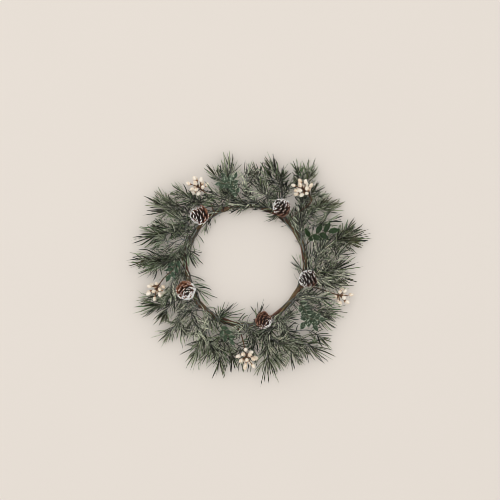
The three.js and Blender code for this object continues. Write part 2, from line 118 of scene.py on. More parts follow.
def paper_material():
    """Warm pale paper with a faint cloudy tone."""
    material, tree, shader = new_material("backdrop paper", PAPER_ROUGHNESS)
    cloud = mottled(tree, object_place(tree), CLOUD_SCALE)
    darker = tuple(CLOUD_SHADE * channel for channel in PAPER_COLOUR)
    connect(tree, shader.inputs["Base Color"], blended(tree, cloud, darker, PAPER_COLOUR))
    return material


def lay_paper():
    """One square sheet just under the ring."""
    half = PAPER_WIDTH / 2
    corners = [(x, y, -PAPER_DROP) for x, y in ((-half, -half), (half, -half), (half, half), (-half, half))]
    mesh = bpy.data.meshes.new("backdrop")
    mesh.from_pydata(corners, [], [(0, 1, 2, 3)])
    mesh.materials.append(paper_material())
    new_object("backdrop", mesh)


def light_the_room():
    """A white ceiling that is brightest overhead, dimmer walls and one large soft lamp."""
    world = bpy.data.worlds.new("ceiling")
    world.use_nodes = True
    tree = world.node_tree
    sky = tree.nodes["Background"]
    sky.inputs["Color"].default_value = (*CEILING_COLOUR, 1)
    split = tree.nodes.new("ShaderNodeSeparateXYZ")
    connect(tree, split.inputs[0], tree.nodes.new("ShaderNodeTexCoord").outputs["Generated"])
    light = spread_out(tree, split.outputs["Z"], to_low=WALL_LIGHT, to_high=CEILING_LIGHT)
    connect(tree, sky.inputs["Strength"], light)
    bpy.context.scene.world = world
    data = bpy.data.lights.new("lamp", "AREA")
    data.size = LAMP_WIDTH
    data.energy = LAMP_POWER
    lamp = new_object("lamp", data)
    lamp.location = LAMP_PLACE
    lamp.rotation_euler = (-lamp.location).to_track_quat("-Z", "Y").to_euler()


def set_camera():
    """A camera that looks straight down, with the top of its picture towards +Y."""
    data = bpy.data.cameras.new("camera")
    data.lens = LENS
    camera = new_object("camera", data)
    camera.location = (*VIEW_MIDDLE, VIEW_HEIGHT)
    bpy.context.scene.camera = camera


bpy.context.scene.view_settings.view_transform = "Standard"
bpy.context.scene.cycles.filter_width = FILTER_WIDTH
bpy.context.scene.cycles.diffuse_bounces = DIFFUSE_BOUNCES
lay_paper()
light_the_room()
set_camera()

# The vine ring. Three strands of dried vine, each 3 to 4 mm thick, are wound loosely round each other and
# closed into a hoop. The bark is reddish and golden brown with darker fibres along it and a few swollen
# knots.
RING_MIDDLE = (-0.005, 0.0045)
RING_RADIUS = 0.087
RING_DENT = 0.003
DENT_BEARING = 320
DENT_WIDTH = 30
BUNDLE_HEIGHT = 0.0032
STRAND_RADIUS = 0.0017
STRAND_SPREAD = 0.0022
STRAND_TURNS = 6
STRAND_PHASE = 10
STRAND_STEPS = 480
STRAND_SIDES = 12
WAVES = 5
WAVE_COUNTS = (7, 30)
WAVE_STARTS = (0, 6.28)
WAVE_SWELL = 0.16
WAVE_DRIFT = 0.0003
KNOTS = 9
KNOT_SWELL = 0.32
KNOT_LENGTH = 2.2
GRAIN_STRETCH = 0.1
GRAIN_APART = 0.02
FIBRE_NOISE = (1500.0, 3.0)
LENGTHS_NOISE = (260.0, 2.0)
LENGTHS_LIMITS = (0.40, 0.60)
FURROW_LIMITS = (0.36, 0.56, 0.9, 0.0)
BARK_ROUGHNESS = (0.3, 0.7, 0.95, 0.65)
BARK_RELIEF = (0.7, 0.0006)
BARKS = (((0.13, 0.065, 0.036), (0.30, 0.21, 0.095)), ((0.15, 0.060, 0.040), (0.24, 0.125, 0.075)),
         ((0.095, 0.070, 0.040), (0.27, 0.175, 0.080)))
BARK_DARK = (0.030, 0.020, 0.014)
UP = np.array([0.0, 0.0, 1.0])
draw = np.random.default_rng(1225)


def unit(vectors):
    """Vectors scaled to a length of 1."""
    return vectors / np.linalg.norm(vectors, axis=-1, keepdims=True)


def place(bearing, radius, height):
    """A point by its bearing in degrees, its distance from the middle of the ring and its height."""
    angle = np.radians(bearing)
    x = RING_MIDDLE[0] + radius * np.cos(angle)
    y = RING_MIDDLE[1] + radius * np.sin(angle)
    return np.stack(np.broadcast_arrays(x, y, np.asarray(height, float)), axis=-1)


def bell(bearing, middle, width):
    """A bell curve round the ring: e^-((a / width)^2) at an angle a from its middle."""
    apart = (bearing - middle + 180) % 360 - 180
    return np.exp(-((apart / width) ** 2))


def ring_radius(bearing):
    """Radius of the ring, which is pressed in at the lower right by a bell curve of the bearing."""
    return RING_RADIUS - RING_DENT * bell(bearing, DENT_BEARING, DENT_WIDTH)


def round_turn(sides):
    """The angles of the points round a sleeve of so many sides."""
    return 2 * np.pi * np.arange(sides) / sides


def sleeves(lines, widths, depths, sides, face=UP, closed=False, fold=0.0):
    """Closed sleeves round lines of points, as an array of sleeves by rows by 3. At each row a sleeve is an
    ellipse square to its line: width times the cosine of a turn to the side, plus depth times its sine
    towards the face vector. A fold lifts both sides of it by a share of the width, as on a leaf. Gives the
    points as sleeves by rows by sides by 3, and the faces."""
    if closed:
        ahead = unit(np.roll(lines, -1, axis=1) - np.roll(lines, 1, axis=1))
    else:
        ahead = unit(np.gradient(lines, axis=1))
    side = unit(np.cross(ahead, face))
    through = np.cross(side, ahead)
    cosine, sine = np.cos(round_turn(sides))[:, None], np.sin(round_turn(sides))[:, None]
    wide, deep = widths[..., None, None], depths[..., None, None]
    points = lines[:, :, None] + wide * cosine * side[:, :, None]
    points = points + (deep * sine + fold * wide * abs(cosine)) * through[:, :, None]
    count, rows = lines.shape[:2]
    first = np.arange(count)[:, None, None] * rows * sides
    row = np.arange(rows if closed else rows - 1)[None, :, None]
    step = np.arange(sides)[None, None, :]
    here, there = first + row * sides, first + (row + 1) % rows * sides
    beside = (step + 1) % sides
    quads = np.stack([here + step, there + step, there + beside, here + beside], axis=-1)
    faces = quads.reshape(-1, 4).tolist()
    if not closed:
        starts = first[:, 0] + np.arange(sides)
        faces += starts.tolist() + (starts[:, ::-1] + (rows - 1) * sides).tolist()
    return points, faces


def part(points, faces, finish=0, **marks):
    """One part of a piece: its points and faces, the number of its material, and the values that its points
    keep, each spread over its sleeves, rows and sides."""
    kept = {}
    for name, value in marks.items():
        width = 3 if name == "grain" else 1
        shape = points.shape if width == 3 else points.shape[:-1]
        kept[name] = np.broadcast_to(value, shape).reshape(-1, width)
    return {"points": points.reshape(-1, 3), "faces": faces, "finish": finish, "marks": kept}


def make_piece(node, parts, materials):
    """Joins parts into one mesh object that stands for a CAD node of the same name and rides on the ring."""
    sizes = [len(p["points"]) for p in parts]
    starts = np.cumsum([0] + sizes[:-1]).tolist()
    faces = [[corner + start for corner in face] for p, start in zip(parts, starts) for face in p["faces"]]
    mesh = bpy.data.meshes.new(node + "_mesh")
    mesh.from_pydata(np.vstack([p["points"] for p in parts]).tolist(), [], faces)
    finishes = np.repeat([p["finish"] for p in parts], [len(p["faces"]) for p in parts])
    mesh.polygons.foreach_set("material_index", finishes.astype(np.int32))
    mesh.polygons.foreach_set("use_smooth", np.ones(len(faces), bool))
    for name in sorted({name for p in parts for name in p["marks"]}):
        kind, field, width = ("FLOAT_VECTOR", "vector", 3) if name == "grain" else ("FLOAT", "value", 1)
        values = [p["marks"].get(name, np.zeros((size, width))) for p, size in zip(parts, sizes)]
        kept = mesh.attributes.new(name, kind, "POINT")
        kept.data.foreach_set(field, np.vstack(values).astype(np.float32).ravel())
    for material in materials:
        mesh.materials.append(material)
    piece = new_object(node + "_dressed", mesh)
    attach(piece, "root")
    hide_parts(node)


def mark(tree, name, output="Fac"):
    """A value or vector that the piece keeps at each of its points."""
    node = tree.nodes.new("ShaderNodeAttribute")
    node.attribute_name = name
    return node.outputs[output]


def raise_grain(tree, shader, height, strength, distance):
    """Gives a shader's surface the relief of a height value."""
    node = tree.nodes.new("ShaderNodeBump")
    for name, value in (("Strength", strength), ("Distance", distance), ("Height", height)):
        connect(tree, node.inputs[name], value)
    connect(tree, shader.inputs["Normal"], node.outputs["Normal"])


def new_group(name, inputs, outputs):
    """A shader node group with named sockets, each with its kind. Returns its tree, the sockets that bring
    its inputs in and those that take its outputs."""
    tree = bpy.data.node_groups.new(name, "ShaderNodeTree")
    for way, sockets in (("INPUT", inputs), ("OUTPUT", outputs)):
        for socket, kind in sockets.items():
            tree.interface.new_socket(name=socket, in_out=way, socket_type="NodeSocket" + kind)
    return tree, tree.nodes.new("NodeGroupInput").outputs, tree.nodes.new("NodeGroupOutput").inputs


def placed(tree, group, values):
    """A node group placed in a material with its own values. Returns its outputs."""
    node = tree.nodes.new("ShaderNodeGroup")
    node.node_tree = group
    for name, value in values.items():
        connect(tree, node.inputs[name], value)
    return node.outputs


def bark_group():
    """Bark, from a grain vector that is true across a twig and shortened along it: long patches of two
    browns, dark furrows between the fibres, and the height of the fibres."""
    colours = dict.fromkeys(("Reddish", "Golden", "Dark"), "Color")
    results = {"Colour": "Color", "Roughness": "Float", "Fibre": "Float"}
    tree, given, out = new_group("bark", {"Grain": "Vector", **colours}, results)
    fibre = mottled(tree, given["Grain"], *FIBRE_NOISE)
    lengths = spread_out(tree, mottled(tree, given["Grain"], *LENGTHS_NOISE), *LENGTHS_LIMITS)
    body = blended(tree, lengths, given["Reddish"], given["Golden"])
    furrow = spread_out(tree, fibre, *FURROW_LIMITS)
    connect(tree, out["Colour"], blended(tree, furrow, body, given["Dark"]))
    connect(tree, out["Roughness"], spread_out(tree, fibre, *BARK_ROUGHNESS))
    connect(tree, out["Fibre"], fibre)
    return tree


BARK = bark_group()


def bark_material(name, reddish, golden, dark):
    """Bark between two browns, with the relief of its fibres."""
    material, tree, shader = new_material(name)
    values = {"Grain": mark(tree, "grain", "Vector"), "Reddish": reddish, "Golden": golden, "Dark": dark}
    bark = placed(tree, BARK, values)
    connect(tree, shader.inputs["Base Color"], bark["Colour"])
    connect(tree, shader.inputs["Roughness"], bark["Roughness"])
    raise_grain(tree, shader, bark["Fibre"], *BARK_RELIEF)
    return material


def strand(number):
    """One strand: a tube that winds round the middle of the bundle, so that its distance out and its height
    follow the cosine and sine of a phase. Seeded waves make it uneven, and bell curves make its knots."""
    bearing = 360 * np.arange(STRAND_STEPS) / STRAND_STEPS
    angle = np.radians(bearing)
    phase = np.radians(STRAND_TURNS * bearing + STRAND_PHASE + 360 / len(BARKS) * number)
    waves = draw.integers(*WAVE_COUNTS, WAVES)[:, None] * angle + draw.uniform(*WAVE_STARTS, (WAVES, 1))
    uneven = np.sin(waves).mean(axis=0)
    knots = bell(bearing, draw.uniform(0, 360, KNOTS)[:, None], KNOT_LENGTH).sum(axis=0)
    radius = STRAND_RADIUS * (1 + WAVE_SWELL * uneven + KNOT_SWELL * knots)
    outward = ring_radius(bearing) + STRAND_SPREAD * np.cos(phase) + WAVE_DRIFT * uneven
    height = np.maximum(BUNDLE_HEIGHT + STRAND_SPREAD * np.sin(phase), radius)
    lines = place(bearing, outward, height)[None]
    turn = round_turn(STRAND_SIDES)
    reach = GRAIN_STRETCH * RING_RADIUS + radius[:, None] * np.cos(turn)
    rise = radius[:, None] * np.sin(turn) + GRAIN_APART * number
    grain = np.stack([reach * np.cos(angle)[:, None], reach * np.sin(angle)[:, None], rise], axis=-1)
    return part(*sleeves(lines, radius, radius, STRAND_SIDES, closed=True), grain=grain)


for number, (reddish, golden) in enumerate(BARKS):
    vine_bark = bark_material(f"vine bark {number + 1}", reddish, golden, BARK_DARK)
    make_piece(f"vine_strand_{number + 1}", [strand(number)], [vine_bark])

# The cones. Small real cones with woody scales in a spiral, wired by the base to the top of the ring and
# brushed with white snow paint on one side, so that most tips there are white and the rest stay brown. Each
# row has the bearing and radius of the middle, the heading and pitch of the nose, the width, the length, the
# heading and the amount of its snow, and how fresh the brown of its wood is.
CONES = {
    "top_left": (133.8, 0.0985, 189, 50, 0.029, 0.030, 205, 0.66, 1.0),
    "top": (58.9, 0.0982, 133, 45, 0.028, 0.030, 128, 0.60, 0.3),
    "left": (204, 0.0928, 307, 70, 0.030, 0.028, 312, 0.72, 1.0),
    "bottom": (288.9, 0.085, 330, 60, 0.026, 0.027, 320, 0.22, 0.30),
    "right": (347, 0.090, 194, 42, 0.028, 0.030, 172, 0.68, 0.0),
}
CONE_REST = 0.0085
CONE_ARC = (0.28, 0.96)
ARC_POWER = 0.8
CONE_TAPER = 0.14
CORE_RUN = (0.05, 0.93)
CORE_ROWS = 9
CORE_SIDES = 12
CORE_GIRTH = 0.42
CORE_SKIN = 0.0004
CONE_STALK = (0.001, 0.0012)
STALK_LANE = 76
STALK_DEPTH = 0.2
STALK_POINTS = 4
STEM_REACH = 0.0049
STEM_SIDES = 7
CONE_SCALES = 42
GOLDEN_ANGLE = 137.508
SCALE_ALONG = np.array([0.0, 0.3, 0.55, 0.72, 0.84, 0.93, 0.98, 1.0])
SCALE_SHAPE = np.array([0.26, 0.45, 0.70, 0.92, 1.0, 0.94, 0.80, 0.50])
SCALE_HALF_DEPTHS = np.array([0.35, 0.36, 0.38, 0.44, 0.54, 0.58, 0.46, 0.26]) * 0.001
SCALE_HALF_WIDTHS = (0.0049, 0.0027)
SCALE_CONE_WIDTH = 0.029
SCALE_SIDES = 8
SCALE_REACHES = (0.90, 1.06)
SCALE_FOOT = 0.22
SCALE_PLACES = (0.07, 0.95)
SCALE_LIFTS = (-4, 58)
LIFT_POWER = 1.4
SCALE_CURL = 0.10
CURL_POWER = 4
NARROWING_POWER = 0.8
LEAST_TURN_RADIUS = 0.0015
SNOW_BY_SKY = 0.35
SNOW_BY_NOSE = 0.9
SNOW_BY_SIDE = 0.68
SNOW_PLAY = 0.16
SNOW_BODY = 0.2
SNOW_ON_TOP = 0.15
SNOW_ALONG = (0.4, 0.7)
RIM_ALONG = (0.82, 0.94)
RIM_BY_SIDE = 0.35
SIDES_ACROSS = (0.6, 1.0)
SIDES_ALONG = (0.5, 0.7)
RIM_PATCHES = (420.0, 0.3, 0.7, -0.3, 0.3)
RIM_LIMITS = (0.55, 0.95)
SHADE_LIMITS = (0.50, 0.86)
SNOW_PATCHES = (520.0, 0.3, 0.7, -0.48, 0.42)
SNOW_LIMITS = (0.45, 0.58)
CONE_ROUGHNESS = (0.0, 1.0, 0.6, 0.92)
CONE_GRAIN_SCALE = 900.0
CONE_RELIEF = (0.5, 0.0004)
SCALE_BROWN = (0.24, 0.080, 0.038)
SCALE_RIM = (0.58, 0.28, 0.17)
SCALE_SHADE = (0.014, 0.006, 0.004)
OLD_BROWN = (0.085, 0.033, 0.022)
OLD_RIM = (0.30, 0.165, 0.115)
SNOW = (0.97, 0.95, 0.94)
TWIG_BARK = ((0.17, 0.075, 0.036), (0.33, 0.17, 0.08), (0.05, 0.028, 0.018))
CONE_ROOM = 0.52
clearings = []


def direction(heading, pitch=0.0):
    """A unit vector by its heading and pitch in degrees."""
    flat = np.cos(np.radians(pitch))
    return np.array([
        flat * np.cos(np.radians(heading)), flat * np.sin(np.radians(heading)), np.sin(np.radians(pitch))])


def between(first, last, share):
    """A value between two others by a share from 0 to 1."""
    return first + (last - first) * share


def ramp(value, low, high):
    """A share that rises evenly from 0 at low to 1 at high."""
    return np.clip((value - low) / (high - low), 0, 1)


def stem_part(path, thick, thin, sides=STEM_SIDES):
    """A round stem along a path, from a thick end to a thin one. Its grain is its own section in metres, and
    its length shortened."""
    radii = between(thick, thin, np.linspace(0, 1, len(path)))
    length = np.concatenate([[0], np.cumsum(np.linalg.norm(np.diff(path, axis=0), axis=1))])[:, None]
    across = radii[:, None] * np.cos(round_turn(sides))
    deep = radii[:, None] * np.sin(round_turn(sides))
    grain = np.stack(np.broadcast_arrays(across, deep, GRAIN_STRETCH * length + path[0, 0]), axis=-1)
    return part(*sleeves(path[None], radii, radii, sides), finish=1, grain=grain)


def on_lane(bearing, lane):
    """A point beside the bundle of strands, by its bearing and by its lane, which is its angle round the
    bundle: 0 outward, 90 on top."""
    angle = np.radians(lane)
    out, up = STEM_REACH * np.cos(angle), STEM_REACH * np.sin(angle)
    return place(bearing, ring_radius(bearing) + out, BUNDLE_HEIGHT + up)


def cone_outline(share):
    """Radius of a cone along its length: a sine arc that is fullest a third of the way up, and tapers."""
    return np.sin(np.pi * between(*CONE_ARC, share)) ** ARC_POWER * (1 - CONE_TAPER * share)


def scale_body(width, length, share, turn):
    """Points and faces of the scales of a cone that stands on its base. Each is a sleeve whose line runs
    from the core out to the cone's outline and turns up at its end, as steep as the scale is high on the
    cone. The sleeve is then bent round the cone: what lies aside by s at a radius r turns by s / r."""
    reach = (width / 2 * cone_outline(share) * draw.uniform(*SCALE_REACHES, CONE_SCALES))[:, None]
    lift = np.tan(np.radians(between(*SCALE_LIFTS, share ** LIFT_POWER)))[:, None]
    out = reach * between(SCALE_FOOT, 1.0, SCALE_ALONG)
    height = length * between(*SCALE_PLACES, share)[:, None] + lift * (out - reach)
    height = height + SCALE_CURL * reach * SCALE_ALONG ** CURL_POWER
    lines = np.stack([out, height, 0 * out], axis=-1)
    half = between(*SCALE_HALF_WIDTHS, share ** NARROWING_POWER)[:, None] * width / SCALE_CONE_WIDTH
    depths = np.broadcast_to(SCALE_HALF_DEPTHS, out.shape)
    points, faces = sleeves(lines, half * SCALE_SHAPE, depths, SCALE_SIDES, face=np.array([0.0, 1.0, 0.0]))
    radial, height, aside = np.moveaxis(points, -1, 0)
    angle = turn[..., None] + aside / np.maximum(radial, LEAST_TURN_RADIUS)
    return np.stack([radial * np.cos(angle), height, radial * np.sin(angle)], axis=-1), faces


def scale_marks(share, facing, snow_heading, snow_amount, fresh):
    """The values that the points of the scales keep. A scale has more snow the more it faces the snow's
    heading and the sky, and the nearer it is to the nose. On a scale the coat is fullest at the rim and on
    top."""
    faced = facing[:, :2] @ direction(snow_heading)[:2] + SNOW_BY_SKY * facing[:, 2]
    faced = faced + SNOW_BY_NOSE * share ** 2
    snow = snow_amount + SNOW_BY_SIDE * faced + draw.uniform(-SNOW_PLAY, SNOW_PLAY, CONE_SCALES)
    along, turn = SCALE_ALONG[:, None], round_turn(SCALE_SIDES)
    sides = ramp(abs(np.cos(turn)), *SIDES_ACROSS) * ramp(along, *SIDES_ALONG)
    rim = np.maximum(RIM_BY_SIDE * sides, ramp(along, *RIM_ALONG))
    coat = np.clip(SNOW_BODY + rim + SNOW_ON_TOP * np.sin(turn), 0, 1) * ramp(along, *SNOW_ALONG)
    return {"along": along, "rim": rim, "snow": np.clip(snow, 0, 1)[:, None, None] * coat, "fresh": fresh}


def cone_parts(width, length, nose, middle, *coat):
    """A cone's scales, at golden-angle steps up it, and its core, turned to the nose. Gives its base too."""
    share = (np.arange(CONE_SCALES) + 0.5) / CONE_SCALES
    turn = np.radians(GOLDEN_ANGLE * np.arange(CONE_SCALES))[:, None]
    side = unit(np.cross(nose, UP))
    axes = np.stack([side, nose, np.cross(side, nose)])
    body = scale_body(width, length, share, turn)
    facing = np.hstack([np.cos(turn), 0 * turn, np.sin(turn)]) @ axes
    scales = part(*body, **scale_marks(share, facing, *coat))
    line = np.linspace(*CORE_RUN, CORE_ROWS)
    core_line = np.stack([0 * line, line * length, 0 * line], axis=-1)[None]
    girth = CORE_GIRTH * width / 2 * cone_outline(line) + CORE_SKIN
    core = part(*sleeves(core_line, girth, girth, CORE_SIDES, face=np.array([1.0, 0.0, 0.0])))
    base = middle - nose * length / 2
    for piece in (scales, core):
        piece["points"] = piece["points"] @ axes + base
    return [scales, core], base


def worked_out(tree, operation, first, second=0.0):
    """One sum on one value or two, such as ADD, MULTIPLY or SINE."""
    node = tree.nodes.new("ShaderNodeMath")
    node.operation = operation
    connect(tree, node.inputs[0], first)
    connect(tree, node.inputs[1], second)
    return node.outputs[0]


def patches_group():
    """Broken patches: soft noise between a low and a high limit, stretched to run from a least value to a
    most one and held there."""
    numbers = dict.fromkeys(("Scale", "Detail", "Low", "High", "Least", "Most"), "Float")
    tree, given, out = new_group("broken patches", {"Place": "Vector", **numbers}, {"Patches": "Float"})
    noise = mottled(tree, given["Place"], given["Scale"], given["Detail"])
    limits = [given[name] for name in ("Low", "High", "Least", "Most")]
    connect(tree, out["Patches"], spread_out(tree, noise, *limits))
    return tree


BROKEN_PATCHES = patches_group()


def patches(tree, spot, scale, low=0.0, high=1.0, least=0.0, most=1.0, detail=3.0):
    """Broken patches placed in a material with its own values."""
    values = {"Place": spot, "Scale": scale, "Detail": detail, "Low": low, "High": high, "Least": least,
              "Most": most}
    return placed(tree, BROKEN_PATCHES, values)["Patches"]


def cone_material():
    """Woody scales, with painted shade deep inside the cone, paler at the rim, and white paint where the
    snow is high.
    """
    material, tree, shader = new_material("snowy cone scales")
    spot = object_place(tree)
    edge = worked_out(tree, "ADD", mark(tree, "rim"), patches(tree, spot, *RIM_PATCHES))
    rim_share = spread_out(tree, edge, *RIM_LIMITS)
    old = blended(tree, rim_share, OLD_BROWN, OLD_RIM)
    wood = blended(tree, mark(tree, "fresh"), old, blended(tree, rim_share, SCALE_BROWN, SCALE_RIM))
    # Painted shade: the inner part of each scale, deep in the cone, darkens to near black.
    shaded = blended(tree, spread_out(tree, mark(tree, "along"), *SHADE_LIMITS), SCALE_SHADE, wood)
    ragged = worked_out(tree, "ADD", mark(tree, "snow"), patches(tree, spot, *SNOW_PATCHES))
    coat = spread_out(tree, ragged, *SNOW_LIMITS)
    connect(tree, shader.inputs["Base Color"], blended(tree, coat, shaded, SNOW))
    connect(tree, shader.inputs["Roughness"], spread_out(tree, coat, *CONE_ROUGHNESS))
    raised = worked_out(tree, "ADD", coat, patches(tree, spot, CONE_GRAIN_SCALE))
    raise_grain(tree, shader, raised, *CONE_RELIEF)
    return material


cone_scales = cone_material()
twig_bark = bark_material("twig bark", *TWIG_BARK)
for name, (bearing, radius, heading, pitch, width, length, *coat) in CONES.items():
    nose = direction(heading, pitch)
    slope = np.radians(pitch)
    half_height = np.hypot(length / 2 * np.sin(slope), width / 2 * np.cos(slope))
    middle = place(bearing, radius, CONE_REST + half_height)
    parts, base = cone_parts(width, length, nose, middle, *coat)
    under = np.degrees(np.arctan2(base[1] - RING_MIDDLE[1], base[0] - RING_MIDDLE[0]))
    stalk = np.linspace(on_lane(under, STALK_LANE), base + STALK_DEPTH * length * nose, STALK_POINTS)
    parts.append(stem_part(stalk, *CONE_STALK))
    make_piece(f"cone_{name}", parts, [cone_scales, twig_bark])
    clearings.append((middle, CONE_ROOM * width))

# The berries. Small clusters of oblong cream berries of painted foam, 6 by 8 mm, tan where the stalk goes
# in, on short stalks round a wire, both covered in brown paper. Rows: bearing, radius and height of the
# twig's tip, heading, pitch, seat bearing, lane round the strands and number of berries.
MID, TOP = 50, 90
BERRIES = {
    "top_right": (53, 0.136, 0.034, 135, 12, 42, TOP, 17),
    "top_left": (121, 0.131, 0.032, 138, 16, 117, TOP, 14),
    "left": (195, 0.133, 0.022, 236, 20, 172, MID, 13),
    "bottom": (271, 0.133, 0.028, 285, 40, 256, TOP, 16),
    "right": (342, 0.145, 0.022, 342, 24, 333, TOP, 12),
}
BERRY_LENGTH = 0.0086
BERRY_RADIUS = 0.0033
BERRY_ENDS = (0.04, 0.985)
BERRY_ROWS = 11
BERRY_SIDES = 12
BERRY_TAPER = (1.04, 0.22)
BERRY_SIZES = (0.82, 1.04)
BERRY_FACE = np.array([0.3, 0.2, 0.93])
BERRY_RUN = 0.016
BERRY_SPACE = 0.009
BERRY_SPREADS = (8, 84)
BERRY_ROOM = 0.0105
BERRY_ROOM_BACK = 0.3
BERRY_ROOM_LIFT = 0.004
BERRY_TWIG = (0.0011, 0.0008)
BERRY_STALK = (0.00045, 0.0006)
BERRY_STALK_SIDES = 6
STALK_LENGTHS = (0.009, 0.004)
STALK_STAGGER = 0.003
STALK_ENTRY = 0.0006
BERRY_CREAM = (0.95, 0.875, 0.765)
BERRY_RUBBED = (0.80, 0.60, 0.40)
BERRY_TAN = (0.42, 0.20, 0.08)
RUBBED_SCALE = 300.0
RUBBED_BY_TINT = 0.22
RUBBED_LIMITS = (0.55, 0.78, 0.0, 0.8)
TAN_PATCHES = (500.0, 0.0, 1.0, 0.0, 0.12, 2.0)
TAN_LIMITS = (0.10, 0.26, 1.0, 0.0)
STALK_BARK = ((0.13, 0.058, 0.032), (0.27, 0.145, 0.075), (0.05, 0.026, 0.015))
SEAT_RUN = 8
SEAT_POINTS = 5
BEND_POINTS = 9
STEM_LIFT = 0.25
STEM_LEAD = 0.35


def bend_to(start, leaving, tip, heading, pitch, run):
    """A Bezier curve that leaves start in one direction and ends a straight run before the tip."""
    ahead = direction(heading, pitch)
    end = tip - run * ahead
    lead = STEM_LEAD * np.linalg.norm(end - start)
    t = np.linspace(0, 1, BEND_POINTS)[:, None]
    return ((1 - t) ** 3 * start + 3 * (1 - t) ** 2 * t * (start + lead * leaving)
            + 3 * (1 - t) * t ** 2 * (end - lead * ahead) + t ** 3 * end)


def stem_path(tip, heading, pitch, run, seat, lane, way=1):
    """A stem that lies along its lane for 8 degrees of the ring, then bends away and out to its tip."""
    lying = on_lane(seat - way * SEAT_RUN * np.linspace(1, 0, SEAT_POINTS), lane)
    angle = np.radians(lane)
    away = direction(seat) * np.cos(angle) + UP * np.sin(angle)
    leaving = direction(seat + way * 90) + STEM_LIFT * away
    bend = bend_to(lying[-1], leaving, tip, heading, pitch, run)
    return np.vstack([lying[:-1], bend, tip])


def path_length(path):
    """The length of a path of points."""
    return np.linalg.norm(np.diff(path, axis=0), axis=1).sum()


def back_along(path, distances):
    """Points and directions on a path at distances back from its tip."""
    steps = np.linalg.norm(np.diff(path, axis=0), axis=1)[::-1]
    ends = np.concatenate([[0], np.cumsum(steps)])
    reverse = path[::-1]
    points = np.stack([np.interp(distances, ends, reverse[:, axis]) for axis in range(3)], axis=-1)
    segment = np.clip(np.searchsorted(ends, distances) - 1, 0, len(steps) - 1)
    return points, unit(reverse[segment] - reverse[segment + 1])


def turned_about(along, angle):
    """A vector square to along, at an angle round it from the level side."""
    side = unit(np.cross(along, UP))
    lifted = np.cross(along, side)
    angle = np.radians(angle)[..., None]
    return side * np.cos(angle) + lifted * np.sin(angle)


def berry_parts(path, count):
    """Berries in a golden-angle spiral back from the tip of a twig. Each is a sleeve whose radius follows
    the square root of 1 - (2t - 1)^2, a little fuller towards its stalk, and its stalk is a thin stem."""
    number = np.arange(count)
    share = (number + 0.5) / count
    roots, along = back_along(path, BERRY_SPACE * share)
    spread = np.radians(between(*BERRY_SPREADS, np.sqrt(share)))[:, None]
    out = along * np.cos(spread) + turned_about(along, GOLDEN_ANGLE * number) * np.sin(spread)
    stalk = (between(*STALK_LENGTHS, share) + STALK_STAGGER * (number % 2))[:, None]
    feet = roots + out * stalk
    t = (1 - np.cos(np.pi * np.linspace(*BERRY_ENDS, BERRY_ROWS))) / 2
    size = draw.uniform(*BERRY_SIZES, (count, 1))
    lines = feet[:, None] + (out * BERRY_LENGTH * size)[:, None] * t[:, None]
    girth = BERRY_RADIUS * size * np.sqrt(1 - (2 * t - 1) ** 2) * (BERRY_TAPER[0] - BERRY_TAPER[1] * t)
    body = sleeves(lines, girth, girth, BERRY_SIDES, face=BERRY_FACE)
    parts = [part(*body, along=t[:, None], tint=draw.uniform(0, 1, (count, 1, 1)))]
    for root, foot in zip(roots, feet + out * STALK_ENTRY):
        parts.append(stem_part(np.linspace(root, foot, STALK_POINTS), *BERRY_STALK, BERRY_STALK_SIDES))
    return parts


def berry_material():
    """Cream paint, tan round the stalk, and rubbed to a warmer tone in patches, on some berries more."""
    material, tree, shader = new_material("cream berry")
    spot = object_place(tree)
    tint = worked_out(tree, "MULTIPLY", mark(tree, "tint"), RUBBED_BY_TINT)
    worn = worked_out(tree, "ADD", patches(tree, spot, RUBBED_SCALE), tint)
    rubbed = blended(tree, spread_out(tree, worn, *RUBBED_LIMITS), BERRY_CREAM, BERRY_RUBBED)
    foot = worked_out(tree, "ADD", mark(tree, "along"), patches(tree, spot, *TAN_PATCHES))
    tan = spread_out(tree, foot, *TAN_LIMITS)
    connect(tree, shader.inputs["Base Color"], blended(tree, tan, rubbed, BERRY_TAN))
    return material


cream_paint = berry_material()
stalk_bark = bark_material("berry stalk", *STALK_BARK)
for name, (bearing, radius, height, heading, pitch, seat, lane, count) in BERRIES.items():
    twig = stem_path(place(bearing, radius, height), heading, pitch, BERRY_RUN, seat, lane)
    parts = berry_parts(twig, count) + [stem_part(twig, *BERRY_TWIG)]
    make_piece(f"berries_{name}", parts, [cream_paint, stalk_bark])
    cluster = twig[-1] - BERRY_ROOM_BACK * BERRY_SPACE * direction(heading, pitch)
    clearings.append((cluster + BERRY_ROOM_LIFT * UP, BERRY_ROOM))

# The leaves. Sprigs of small oval leaves in thin plastic, green to blue-green with a pale frosted rim,
# folded a little along the middle and bent down to the tip, on an olive brown twig. Rows: bearing, radius
# and height of the twig's tip, heading, pitch, seat bearing, lane, number, length and width of the leaves.
LEAVES = {
    "top": (103, 0.128, 0.030, 129, 10, 86, TOP, 10, 0.010, 0.006),
    "right": (22, 0.128, 0.030, 10, 6, 8, MID, 7, 0.017, 0.008),
    "lower_right": (319, 0.129, 0.030, 300, 8, 320, TOP, 10, 0.012, 0.008),
    "left": (187, 0.108, 0.034, 243, 6, 168, TOP, 6, 0.013, 0.006),
    "bottom": (258, 0.108, 0.030, 307, 8, 240, TOP, 6, 0.012, 0.006),
}
LEAF_RUN = 0.020
BUSHY_COUNT = 8
LEAF_TWIG = 0.012
LEAF_TWIG_FORKS = np.array([0.009, 0.015])
LEAF_TWIG_COUNT = 5
LEAF_TWIG_AHEAD = 0.6
LEAF_TWIG_RISE = 0.25
LEAF_STALK = (0.0009, 0.0005)
LEAF_ROOM = (0.6, 0.0075)
LEAF_ROOM_BACK = 0.007
LEAF_ROOM_LIFT = 0.003
LEAF_START = 0.0005
LEAF_SPACING = 0.34
LEAF_SWING = 50
LEAF_RISE = (0.25, 0.05)
LEAF_ARCH = 0.16
LEAF_HALF_DEPTH = 0.00022
LEAF_THINNING = 0.5
